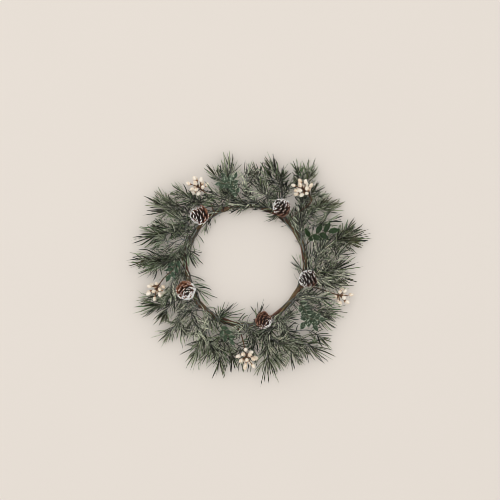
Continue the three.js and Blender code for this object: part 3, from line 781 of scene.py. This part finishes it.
LEAF_LEAST_HALF = 0.0002
LEAF_POWER = 0.8
LEAF_WIDTHS = (0.9, 1.08)
LEAF_FOLD = 0.22
LEAF_ROWS = 10
LEAF_SIDES = 12
LEAF_COLOURS = {
    "top": ((0.022, 0.046, 0.022), (0.58, 0.68, 0.52)),
    "right": ((0.012, 0.032, 0.008), (0.10, 0.16, 0.07)),
    "lower_right": ((0.016, 0.034, 0.014), (0.60, 0.68, 0.52)),
    "left": ((0.022, 0.048, 0.024), (0.32, 0.42, 0.30)),
    "bottom": ((0.024, 0.050, 0.022), (0.32, 0.40, 0.28)),
}
LEAF_SHADE = 0.75
LEAF_ROUGHNESS = 0.48
LEAF_SPECULAR = 0.22
VEINS_ALONG = 44.0
VEIN_SLANT = 7.0
VEIN_LIMITS = (0.75, 1.0, 0.0, 0.10)
RIB_LIMITS = (0.0, 0.12, 0.18, 0.0)
LEAF_RIM_LIMITS = (0.66, 0.90)
LEAF_RIM_PATCHES = (330.0, 0.42, 0.56)
LEAF_FROST_PATCHES = (330.0, 0.54, 0.70, 0.0, 0.40)
LEAF_RELIEF = (0.35, 0.0003)
LEAF_STALK_BARK = ((0.060, 0.052, 0.026), (0.13, 0.125, 0.070), (0.03, 0.025, 0.015))


def leaf_parts(path, count, length, width):
    """Leaves in turn to both sides back from the tip of a twig. The half width follows sin(pi t^0.8), and
    the middle line sinks by a share of the length times t^2."""
    number = np.arange(count)
    roots, along = back_along(path, LEAF_START + number * length * LEAF_SPACING)
    swing = np.radians(np.where(number == 0, 0, np.where(number % 2 == 0, LEAF_SWING, -LEAF_SWING)))[:, None]
    side = unit(np.cross(along, UP))
    rise = UP * (LEAF_RISE[0] * (number % 3) - LEAF_RISE[1])[:, None]
    out = unit(along * np.cos(swing) + side * np.sin(swing) + rise)
    up = unit(np.cross(np.cross(out, UP), out))
    t = np.linspace(0, 1, LEAF_ROWS)
    sinking = up[:, None] * LEAF_ARCH * length * t[:, None] ** 2
    lines = roots[:, None] + out[:, None] * length * t[:, None] - sinking
    half = np.maximum(width / 2 * np.sin(np.pi * t ** LEAF_POWER), LEAF_LEAST_HALF)
    half = draw.uniform(*LEAF_WIDTHS, (count, 1)) * half
    depth = np.broadcast_to(LEAF_HALF_DEPTH * (1 - LEAF_THINNING * t), half.shape)
    body = sleeves(lines, half, depth, LEAF_SIDES, fold=LEAF_FOLD)
    across = abs(np.cos(round_turn(LEAF_SIDES)))
    return part(*body, along=t[:, None], across=across, tint=draw.uniform(0, 1, (count, 1, 1)))


def leaf_twigs(path, count):
    """The twig of a sprig and, on a bushy one, two short twigs that leave it to both sides and rise a
    little. Gives each with its number of leaves."""
    twigs = [(path, count)]
    if count > BUSHY_COUNT:
        roots, along = back_along(path, LEAF_TWIG_FORKS)
        for root, ahead, way in zip(roots, along, (1, -1)):
            out = unit(LEAF_TWIG_AHEAD * ahead + way * np.cross(UP, ahead) + LEAF_TWIG_RISE * UP)
            twigs.append((root + out * np.linspace(0, LEAF_TWIG, STALK_POINTS)[:, None], LEAF_TWIG_COUNT))
    return twigs


def leaf_material(name, green, rim):
    """Green with a paler rim and middle rib, slanting veins and a broken frost. The veins are the sine of
    the place along the leaf less the place across it."""
    material, tree, shader = new_material(name, LEAF_ROUGHNESS, LEAF_SPECULAR)
    spot = object_place(tree)
    across = mark(tree, "across")
    along = worked_out(tree, "MULTIPLY", mark(tree, "along"), VEINS_ALONG)
    slant = worked_out(tree, "SUBTRACT", along, worked_out(tree, "MULTIPLY", across, VEIN_SLANT))
    ridges = worked_out(tree, "SINE", slant)
    rim_share = spread_out(tree, across, *LEAF_RIM_LIMITS)
    pale = worked_out(tree, "MULTIPLY", rim_share, patches(tree, spot, *LEAF_RIM_PATCHES))
    for share in (spread_out(tree, across, *RIB_LIMITS), spread_out(tree, ridges, *VEIN_LIMITS),
                  patches(tree, spot, *LEAF_FROST_PATCHES)):
        pale = worked_out(tree, "MAXIMUM", pale, share)
    varied = blended(tree, mark(tree, "tint"), tuple(LEAF_SHADE * channel for channel in green), green)
    connect(tree, shader.inputs["Base Color"], blended(tree, pale, varied, rim))
    raise_grain(tree, shader, ridges, *LEAF_RELIEF)
    return material


leaf_stalk = bark_material("leaf stalk", *LEAF_STALK_BARK)
for name, (bearing, radius, height, heading, pitch, seat, lane, count, length, width) in LEAVES.items():
    twig = stem_path(place(bearing, radius, height), heading, pitch, LEAF_RUN, seat, lane)
    leaves = leaf_material(f"{name} leaves", *LEAF_COLOURS[name])
    parts = []
    for path, number in leaf_twigs(twig, count):
        parts += [leaf_parts(path, number, length, width), stem_part(path, *LEAF_STALK)]
    make_piece(f"leaves_{name}", parts, [leaves, leaf_stalk])
    sprig = twig[-1] - LEAF_ROOM_BACK * direction(heading, pitch) + LEAF_ROOM_LIFT * UP
    clearings.append((sprig, min(LEAF_ROOM[0] * length, LEAF_ROOM[1])))

# The pine. Short twigs of soft plastic pine are tied to the ring by their stems and fan outwards in layers.
# The needles are flat ribbons 1.1 to 1.7 mm wide, grey-green and frosted, in a spiral round each twig. Rows:
# bearing, radius and height of the tip, its heading and pitch, needled length, needle length. The first row
# of a spray also has its seat bearing, its lane round the strands, and -1 where its stem runs clockwise.
LOW, INNER, INSIDE = 10, 130, 170
SPRAYS = {
    "right_outer": [(15, 0.154, 0.012, 18, 4, 0.023, 0.034, 2, LOW),
        (20, 0.158, 0.009, 49, 2, 0.015, 0.016), (13, 0.162, 0.012, 4, 3, 0.012, 0.022)],
    "right_mid": [(7, 0.138, 0.02, 36, 4, 0.027, 0.023, 350, MID),
        (12, 0.112, 0.03, 60, 24, 0.019, 0.027)],
    "right_lower": [(357, 0.134, 0.012, 10, 4, 0.026, 0.032, 338, LOW),
        (347, 0.132, 0.016, 335, 4, 0.02, 0.026), (353, 0.140, 0.012, 352, 3, 0.016, 0.022),
        (349, 0.114, 0.026, 340, 10, 0.014, 0.022)],
    "right_along": [(39, 0.103, 0.029, 92, 30, 0.026, 0.028, 20, TOP)],
    "top_right_outer": [(36, 0.144, 0.012, 20, 4, 0.022, 0.025, 46, MID, -1),
        (40, 0.143, 0.018, 52, 4, 0.016, 0.018), (28, 0.136, 0.022, 26, 6, 0.018, 0.022),
        (33, 0.150, 0.014, 36, 4, 0.012, 0.018)],
    "top_right_mid": [(47, 0.146, 0.018, 45, 4, 0.018, 0.017, 34, MID)],
    "top_right_long": [(55, 0.16, 0.012, 76, 5, 0.018, 0.022, 26, LOW),
        (61, 0.155, 0.015, 104, 4, 0.018, 0.018), (57, 0.163, 0.014, 52, 3, 0.010, 0.018)],
    "top_outer_b": [(74, 0.147, 0.011, 117, 4, 0.02, 0.025, 50, LOW),
        (75, 0.133, 0.022, 130, 8, 0.022, 0.025), (74, 0.088, 0.016, 166, 6, 0.014, 0.015)],
    "top_outer_c": [(83, 0.133, 0.015, 119, 4, 0.026, 0.022, 66, LOW),
        (80, 0.108, 0.029, 150, 26, 0.016, 0.026)],
    "top_outer_d": [(89, 0.129, 0.022, 86, 4, 0.023, 0.021, 78, MID),
        (92, 0.088, 0.016, 184, 6, 0.018, 0.015)],
    "top_outer_e": [(101, 0.136, 0.012, 94, 4, 0.028, 0.029, 88, LOW),
        (99, 0.146, 0.012, 98, 3, 0.012, 0.022)],
    "top_outer_f": [(109, 0.137, 0.02, 135, 4, 0.02, 0.018, 98, MID),
        (115, 0.114, 0.029, 156, 22, 0.018, 0.024), (120, 0.104, 0.026, 160, 10, 0.014, 0.018)],
    "top_left_outer": [(145, 0.155, 0.01, 162, 0, 0.016, 0.021, 124, LOW),
        (131, 0.141, 0.015, 138, 5, 0.017, 0.019), (141, 0.152, 0.010, 134, 3, 0.012, 0.018)],
    "top_left_mid": [(147, 0.14, 0.018, 197, 2, 0.026, 0.026, 108, MID),
        (131, 0.122, 0.028, 180, 24, 0.015, 0.024)],
    "left_upper": [(156, 0.131, 0.022, 180, 6, 0.022, 0.022, 147, MID),
        (146, 0.119, 0.031, 165, 26, 0.016, 0.024)],
    "left_outer_a": [(163, 0.141, 0.01, 197, 2, 0.024, 0.031, 140, LOW),
        (166, 0.131, 0.014, 222, 4, 0.015, 0.018)],
    "left_body": [(166, 0.114, 0.029, 210, 26, 0.016, 0.028, 152, TOP),
        (177, 0.099, 0.027, 262, 22, 0.02, 0.026)],
    "left_outer_b": [(176, 0.143, 0.011, 189, 2, 0.026, 0.029, 160, LOW),
        (181, 0.133, 0.016, 196, 4, 0.022, 0.028), (178, 0.148, 0.010, 180, 2, 0.010, 0.018)],
    "left_low": [(194, 0.095, 0.022, 283, 28, 0.014, 0.022, 180, TOP),
        (201, 0.116, 0.024, 262, 20, 0.018, 0.024)],
    "lower_left_outer": [(204, 0.145, 0.012, 192, 2, 0.021, 0.03, 216, LOW, -1),
        (211, 0.139, 0.016, 231, 4, 0.02, 0.02), (199, 0.152, 0.010, 200, 2, 0.010, 0.018)],
    "lower_left_b": [(221, 0.15, 0.012, 222, 2, 0.018, 0.022, 200, MID),
        (227, 0.134, 0.018, 285, 5, 0.019, 0.02)],
    "lower_left_body": [(233, 0.116, 0.029, 292, 26, 0.022, 0.028, 217, TOP),
        (236, 0.098, 0.018, 255, 8, 0.014, 0.020)],
    "bottom_left_outer": [(241, 0.144, 0.011, 252, 2, 0.023, 0.031, 234, LOW),
        (250, 0.126, 0.017, 325, 6, 0.018, 0.026), (247, 0.140, 0.012, 248, 3, 0.014, 0.020)],
    "bottom_left_b": [(255, 0.144, 0.011, 267, 2, 0.026, 0.027, 246, LOW),
        (262, 0.137, 0.017, 284, 4, 0.02, 0.019), (267, 0.138, 0.010, 270, 2, 0.014, 0.018)],
    "bottom_outer": [(282, 0.146, 0.012, 263, 2, 0.023, 0.031, 298, MID, -1),
        (289, 0.142, 0.018, 305, 4, 0.019, 0.02), (274, 0.130, 0.009, 262, 3, 0.022, 0.024)],
    "bottom_body": [(262, 0.099, 0.018, 176, 20, 0.012, 0.026, 275, TOP, -1),
        (262, 0.088, 0.018, 190, 8, 0.014, 0.018)],
    "bottom_frosted": [(296, 0.128, 0.029, 335, 26, 0.026, 0.028, 270, LOW)],
    "bottom_right_a": [(296, 0.149, 0.02, 265, 2, 0.016, 0.019, 314, MID, -1)],
    "bottom_right_b": [(309, 0.154, 0.01, 332, 2, 0.022, 0.033, 284, LOW),
        (304, 0.145, 0.012, 306, 2, 0.014, 0.018), (316, 0.154, 0.012, 322, 2, 0.014, 0.020)],
    "lower_right_in": [(311, 0.097, 0.020, 28, 20, 0.013, 0.022, 300, TOP)],
    "lower_right_along": [(334, 0.089, 0.023, 56, 28, 0.015, 0.025, 317, INNER)],
    "lower_right": [(331, 0.137, 0.012, 348, 3, 0.021, 0.026, 324, LOW),
        (337, 0.124, 0.026, 350, 20, 0.02, 0.024), (325, 0.141, 0.018, 336, 4, 0.018, 0.022)],
    "hole_right": [(359, 0.078, 0.013, 120, 10, 0.01, 0.02, 345, INNER)],
    "hole_top_right": [(59, 0.081, 0.013, 200, 10, 0.009, 0.015, 44, INNER)],
    "hole_top": [(98, 0.082, 0.014, 202, 8, 0.01, 0.016, 82, INNER)],
    "hole_top_left": [(136, 0.079, 0.012, 264, 8, 0.008, 0.012, 122, INNER)],
    "hole_left": [(168, 0.081, 0.014, 304, 6, 0.008, 0.024, 150, INNER),
        (171, 0.082, 0.018, 292, 8, 0.010, 0.022)],
    "hole_lower_left": [(210, 0.077, 0.011, 318, 8, 0.014, 0.028, 195, INSIDE)],
    "hole_bottom_left": [(248, 0.077, 0.014, 30, 8, 0.011, 0.027, 235, INNER),
        (243, 0.082, 0.018, 82, 8, 0.008, 0.020)],
    "hole_bottom": [(285, 0.073, 0.013, 90, 8, 0.009, 0.022, 270, INNER)],
}
FROSTED = {
    "right_mid", "right_lower", "right_along", "top_outer_c", "top_outer_d", "top_outer_e", "top_left_mid",
    "left_low", "lower_left_b", "lower_left_body", "bottom_body", "bottom_frosted", "bottom_right_a",
    "lower_right_in", "lower_right_along", "lower_right"}
THIN_FROST = 0.4
OVER_RING = {
    "top_outer_b", "top_outer_c", "top_outer_d", "top_outer_e", "top_outer_f", "left_body", "left_low",
    "bottom_body"}
HOLE_EDGE = 0.0545
OVER_RING_EDGE = 0.0795
OUTER_EDGE = 0.0845
PAPER_GAPS = [
    (34, 0.132, 0.0045), (30, 0.141, 0.0045), (217, 0.147, 0.0045), (311, 0.128, 0.0055),
    (242, 0.112, 0.0040), (159, 0.100, 0.0055), (163, 0.110, 0.0040), (159, 0.119, 0.0040),
    (167, 0.122, 0.0035), (205, 0.120, 0.0035)]
PINE_STEM = (0.0011, 0.0006)
PINE_FORK = (0.0009, 0.0006)
BARE_RUN = 0.014
SHOOT_STEM = (0.0008, 0.0005)
SHOOT_SIDES = 5
SHOOT_GAP = 0.016
FIRST_SHOOT = 0.6
LAST_SHOOT = 0.01
SHOOT_TURNS = (25, 155)
SHOOT_AHEAD = 0.75
SHOOT_BEND = 0.85
SHOOT_LENGTHS = (0.010, 0.018)
SHOOT_NEEDLE = 0.72
SHOOT_TOP = 0.044
SHOOT_ROOM = 0.004
NEEDLE_STEP = 0.00090
HOLE_STEP = 0.0008
BARE_SPACING = 3.5
RUN_BEHIND = 0.008
FIRST_RANK = 0.02
TIP_CROWDING = 1.15
NEEDLE_TRIES = 6
NEEDLE_SPREADS = (8, 78)
SPREAD_POWER = 0.45
SPREAD_PLAY = 13
TURN_PLAY = 45
NEEDLE_TAPER = (1.04, 0.1)
NEEDLE_SIZES = (0.82, 1.15)
NEEDLE_BOWS = (0.05, 0.50)
NEEDLE_SWAY = 0.14
NEEDLE_ROWS = np.array([0.0, 0.25, 0.55, 0.82, 1.0])
NEEDLE_HALF_WIDTHS = np.array([0.38, 0.66, 0.76, 0.61, 0.15]) * 0.001
NEEDLE_HALF_DEPTHS = np.array([0.22, 0.24, 0.24, 0.20, 0.08]) * 0.001
NEEDLE_GIRTHS = (0.75, 1.15)
NEEDLE_TWIST = 0.8
NEEDLE_SIDES = 4
NEEDLE_FLOOR = 0.0007
NEEDLE_TOP = 0.057
BUNCH_TONE = 0.2
FROST_MIDDLE = 0.092
FROST_FADE = 0.09
FROST_SHARES = (1.2, 0.2)
FROST_LUCK = (0.1, 1)
FROST_POWER = 1.6
OUTER_LIMITS = (0.115, 0.175)
# Near black: the colour of the darkest needles, and also the painted shade at needle roots and on needle
# undersides.
PINE_DARK_AND_SHADE = (0.003, 0.005, 0.002)
PINE_MID = (0.165, 0.222, 0.092)
PINE_GREEN = (0.080, 0.172, 0.058)
PINE_PALE = (0.78, 0.81, 0.62)
PINE_FROST = (0.93, 0.93, 0.76)
PINE_OLIVE = (0.15, 0.140, 0.050)
PINE_SPECULAR = 0.25
GREEN_LIMITS = (0.35, 0.8)
LIT_TINTS = (0.38, 0.56)
ROOT_SHADE_LIMITS = (0.0, 0.5, 0.35, 1.0)
PALE_TINTS = (0.62, 0.80)
PALE_FROSTS = (0.0, 0.5, 0.45, 1.0)
OLIVE_PATCHES = (70.0, 0.45, 0.65, 0.0, 0.7, 2.0)
UNDERSIDE_SHADE_LIMITS = (-0.1, 0.85, 0.2, 1.0)
UPWARD_LIMITS = (-0.1, 0.9)
FROST_PATCHES = (260.0, 0.40, 0.60)
FROST_BASE = 0.25
FROST_TINTS = (0.1, 0.6, 0.2, 1.0)
FROST_LIMITS = (0.0, 0.8, 0.03, 1.0)
FROST_ROUGHNESS = (0.0, 0.6, 0.5, 0.9)
PINE_BARK = ((0.15, 0.14, 0.115), (0.36, 0.38, 0.36), (0.05, 0.045, 0.035))


def is_clear(lines, hole_limit):
    """True for needles with no point too high, in the candle hole, in a gap in the foliage or in the ball of
    room round a cone, a cluster of berries or a sprig of leaves."""
    def nearest(points, middle):
        return np.linalg.norm(points - middle, axis=-1).min(axis=-1)

    far = nearest(lines[..., :2], RING_MIDDLE) > hole_limit
    far &= lines[..., 2].max(axis=-1) < NEEDLE_TOP
    for middle, radius in clearings:
        far &= nearest(lines[..., 1:, :], middle) > radius
    for bearing, radius, size in PAPER_GAPS:
        far &= nearest(lines[..., :2], place(bearing, radius, 0)[:2]) > size
    return far


def needle_lines(path, run, length, hole_limit, step=NEEDLE_STEP):
    """Lines of the needles of one twig. Each leaves the stem at a spread angle that grows back from the tip
    and curves: root + length * (out * (t - bow t^2) + (bow * along + sway * sideways) * t^2). A needle that
    isn't clear is tried again, and left out after the last try."""
    reach = run + RUN_BEHIND
    total = path_length(path)
    rank = np.linspace(FIRST_RANK, 1, round(reach / step))
    back = np.concatenate([reach * rank ** TIP_CROWDING, np.arange(reach, total, BARE_SPACING * step)])
    back = back[back < total]
    share = np.clip(back / reach, 0, 1)
    roots, along = back_along(path, back)
    count = len(back)
    tries = (NEEDLE_TRIES, count)
    spread = between(*NEEDLE_SPREADS, share ** SPREAD_POWER) + draw.uniform(-SPREAD_PLAY, SPREAD_PLAY, tries)
    turn = GOLDEN_ANGLE * np.arange(count) + draw.uniform(-TURN_PLAY, TURN_PLAY, tries)
    size = length * (NEEDLE_TAPER[0] - NEEDLE_TAPER[1] * share) * draw.uniform(*NEEDLE_SIZES, tries)
    bow = draw.uniform(*NEEDLE_BOWS, tries)[..., None, None]
    sway = draw.uniform(-NEEDLE_SWAY, NEEDLE_SWAY, tries)[..., None, None]
    ahead = np.broadcast_to(along, (*tries, 3))
    spread = np.radians(spread)[..., None]
    out = ahead * np.cos(spread) + turned_about(ahead, turn) * np.sin(spread)
    t = NEEDLE_ROWS[:, None]
    beside = np.cross(out, ahead)[:, :, None]
    course = out[:, :, None] * (t - bow * t ** 2) + (bow * ahead[:, :, None] + sway * beside) * t ** 2
    lines = roots[None, :, None] + size[..., None, None] * course
    lines[..., 2] = np.maximum(lines[..., 2], NEEDLE_FLOOR)
    clear = is_clear(lines, hole_limit)
    chosen = lines[clear.argmax(axis=0), np.arange(count)]
    return chosen[clear.any(axis=0)]


def side_shoots(path, length, hole_limit):
    """Short twigs that rise from a stem every 16 mm, bent upwards, with a burst of needles on each."""
    back = np.arange(FIRST_SHOOT * SHOOT_GAP, path_length(path) - LAST_SHOOT, SHOOT_GAP)
    roots, along = back_along(path, back)
    aside = turned_about(along, draw.uniform(*SHOOT_TURNS, len(back)))
    stems, lines = [], []
    for root, ahead, out in zip(roots, along, aside):
        size = draw.uniform(*SHOOT_LENGTHS)
        bend = size * np.linspace(0, 1, 4)[:, None]
        twig = root + bend * unit(SHOOT_AHEAD * ahead + out) + bend ** 2 / size * SHOOT_BEND * UP
        free = all(np.linalg.norm(twig[-1] - middle) > radius + SHOOT_ROOM for middle, radius in clearings)
        if free and twig[-1, 2] < SHOOT_TOP:
            stems.append(stem_part(twig, *SHOOT_STEM, SHOOT_SIDES))
            lines.append(needle_lines(twig, size, SHOOT_NEEDLE * length, hole_limit))
    return stems, lines


def needles_part(bunches, frosting):
    """The needles of one spray, with a tint that varies by bunch and by needle, and frost that is thickest
    near the ring."""
    lines = np.vstack(bunches)
    count = len(lines)
    sizes = [len(bunch) for bunch in bunches]
    tone = np.repeat(draw.uniform(-BUNCH_TONE, BUNCH_TONE, len(sizes)), sizes)
    tint = np.clip(draw.uniform(0, 1, count) + tone, 0, 1)
    green = np.repeat(draw.uniform(0, 1, len(sizes)), sizes)
    girth = draw.uniform(*NEEDLE_GIRTHS, (count, 1))
    face = unit(UP + draw.normal(0, NEEDLE_TWIST, (count, 1, 3)))
    body = sleeves(lines, girth * NEEDLE_HALF_WIDTHS, girth * NEEDLE_HALF_DEPTHS, NEEDLE_SIDES, face)
    out = np.linalg.norm(lines[..., :2] - RING_MIDDLE, axis=-1)
    near = np.clip(FROST_SHARES[0] - abs(out - FROST_MIDDLE) / FROST_FADE, FROST_SHARES[1], 1)
    frost = frosting * near * draw.uniform(*FROST_LUCK, (count, 1)) ** FROST_POWER
    return part(*body, tint=tint[:, None, None], green=green[:, None, None], frost=frost[..., None],
                along=NEEDLE_ROWS[:, None], outer=ramp(out, *OUTER_LIMITS)[..., None])


def pine_material():
    """Grey-green plastic, each needle a little different, with painted shade at its root and on its
    underside, olive in patches at the outside, with a broken coat of frost on its upper side."""
    material, tree, shader = new_material("frosted pine", specular=PINE_SPECULAR)
    spot, tint, frost = object_place(tree), mark(tree, "tint"), mark(tree, "frost")

    def product(first, second):
        return worked_out(tree, "MULTIPLY", first, second)

    body = blended(tree, spread_out(tree, mark(tree, "green"), *GREEN_LIMITS), PINE_MID, PINE_GREEN)
    # Painted shade: each needle darkens towards its root, deep in its bunch. Some needles are also darker at
    # random.
    lit = product(spread_out(tree, tint, *LIT_TINTS), spread_out(tree, mark(tree, "along"), *ROOT_SHADE_LIMITS))
    paler = product(spread_out(tree, tint, *PALE_TINTS), spread_out(tree, frost, *PALE_FROSTS))
    yellowed = product(mark(tree, "outer"), patches(tree, spot, *OLIVE_PATCHES))
    base = blended(tree, paler, blended(tree, lit, PINE_DARK_AND_SHADE, body), PINE_PALE)
    base = blended(tree, yellowed, base, PINE_OLIVE)
    split = tree.nodes.new("ShaderNodeSeparateXYZ")
    connect(tree, split.inputs[0], tree.nodes.new("ShaderNodeNewGeometry").outputs["Normal"])
    # Painted shade: where a needle's surface faces down, its colour darkens to near black.
    base = blended(tree, spread_out(tree, split.outputs["Z"], *UNDERSIDE_SHADE_LIMITS), PINE_DARK_AND_SHADE, base)
    broken = worked_out(tree, "ADD", patches(tree, spot, *FROST_PATCHES), FROST_BASE)
    coat = product(spread_out(tree, split.outputs["Z"], *UPWARD_LIMITS), broken)
    held = product(spread_out(tree, tint, *FROST_TINTS), spread_out(tree, frost, *FROST_LIMITS))
    amount = product(coat, held)
    connect(tree, shader.inputs["Base Color"], blended(tree, amount, base, PINE_FROST))
    connect(tree, shader.inputs["Roughness"], spread_out(tree, amount, *FROST_ROUGHNESS))
    return material


def spray(name, rows):
    """One spray: its stem, forks that leave the middle of the stem's bend, side shoots and the needles."""
    bearing, radius, height, heading, pitch, run, length, *seating = rows[0]
    main = stem_path(place(bearing, radius, height), heading, pitch, run, *seating)
    bend = main[SEAT_POINTS - 1:-1]
    inner = name.startswith("hole")
    edge = HOLE_EDGE if inner else OVER_RING_EDGE if name in OVER_RING else OUTER_EDGE
    parts = [stem_part(main, *PINE_STEM)]
    lines = [needle_lines(main, run, length, edge, HOLE_STEP if inner else NEEDLE_STEP)]
    twigs = [] if inner else [(main, length)]
    for bearing, radius, height, heading, pitch, run, length in rows[1:]:
        tip = place(bearing, radius, height)
        fork = bend_to(bend[BEND_POINTS // 2], unit(bend[-1] - bend[0]), tip, heading, pitch, run)
        fork = np.vstack([fork, tip])
        parts.append(stem_part(fork, *PINE_FORK))
        lines.append(needle_lines(fork, run, length, edge))
        if run > BARE_RUN:
            twigs.append((fork, length))
    for path, length in twigs:
        stems, bursts = side_shoots(path, length, edge)
        parts += stems
        lines += bursts
    parts.append(needles_part(lines, 1.0 if name in FROSTED else THIN_FROST))
    return parts


pine_needles = pine_material()
pine_stem = bark_material("frosted pine stem", *PINE_BARK)
for name, rows in SPRAYS.items():
    make_piece(f"pine_{name}", spray(name, rows), [pine_needles, pine_stem])
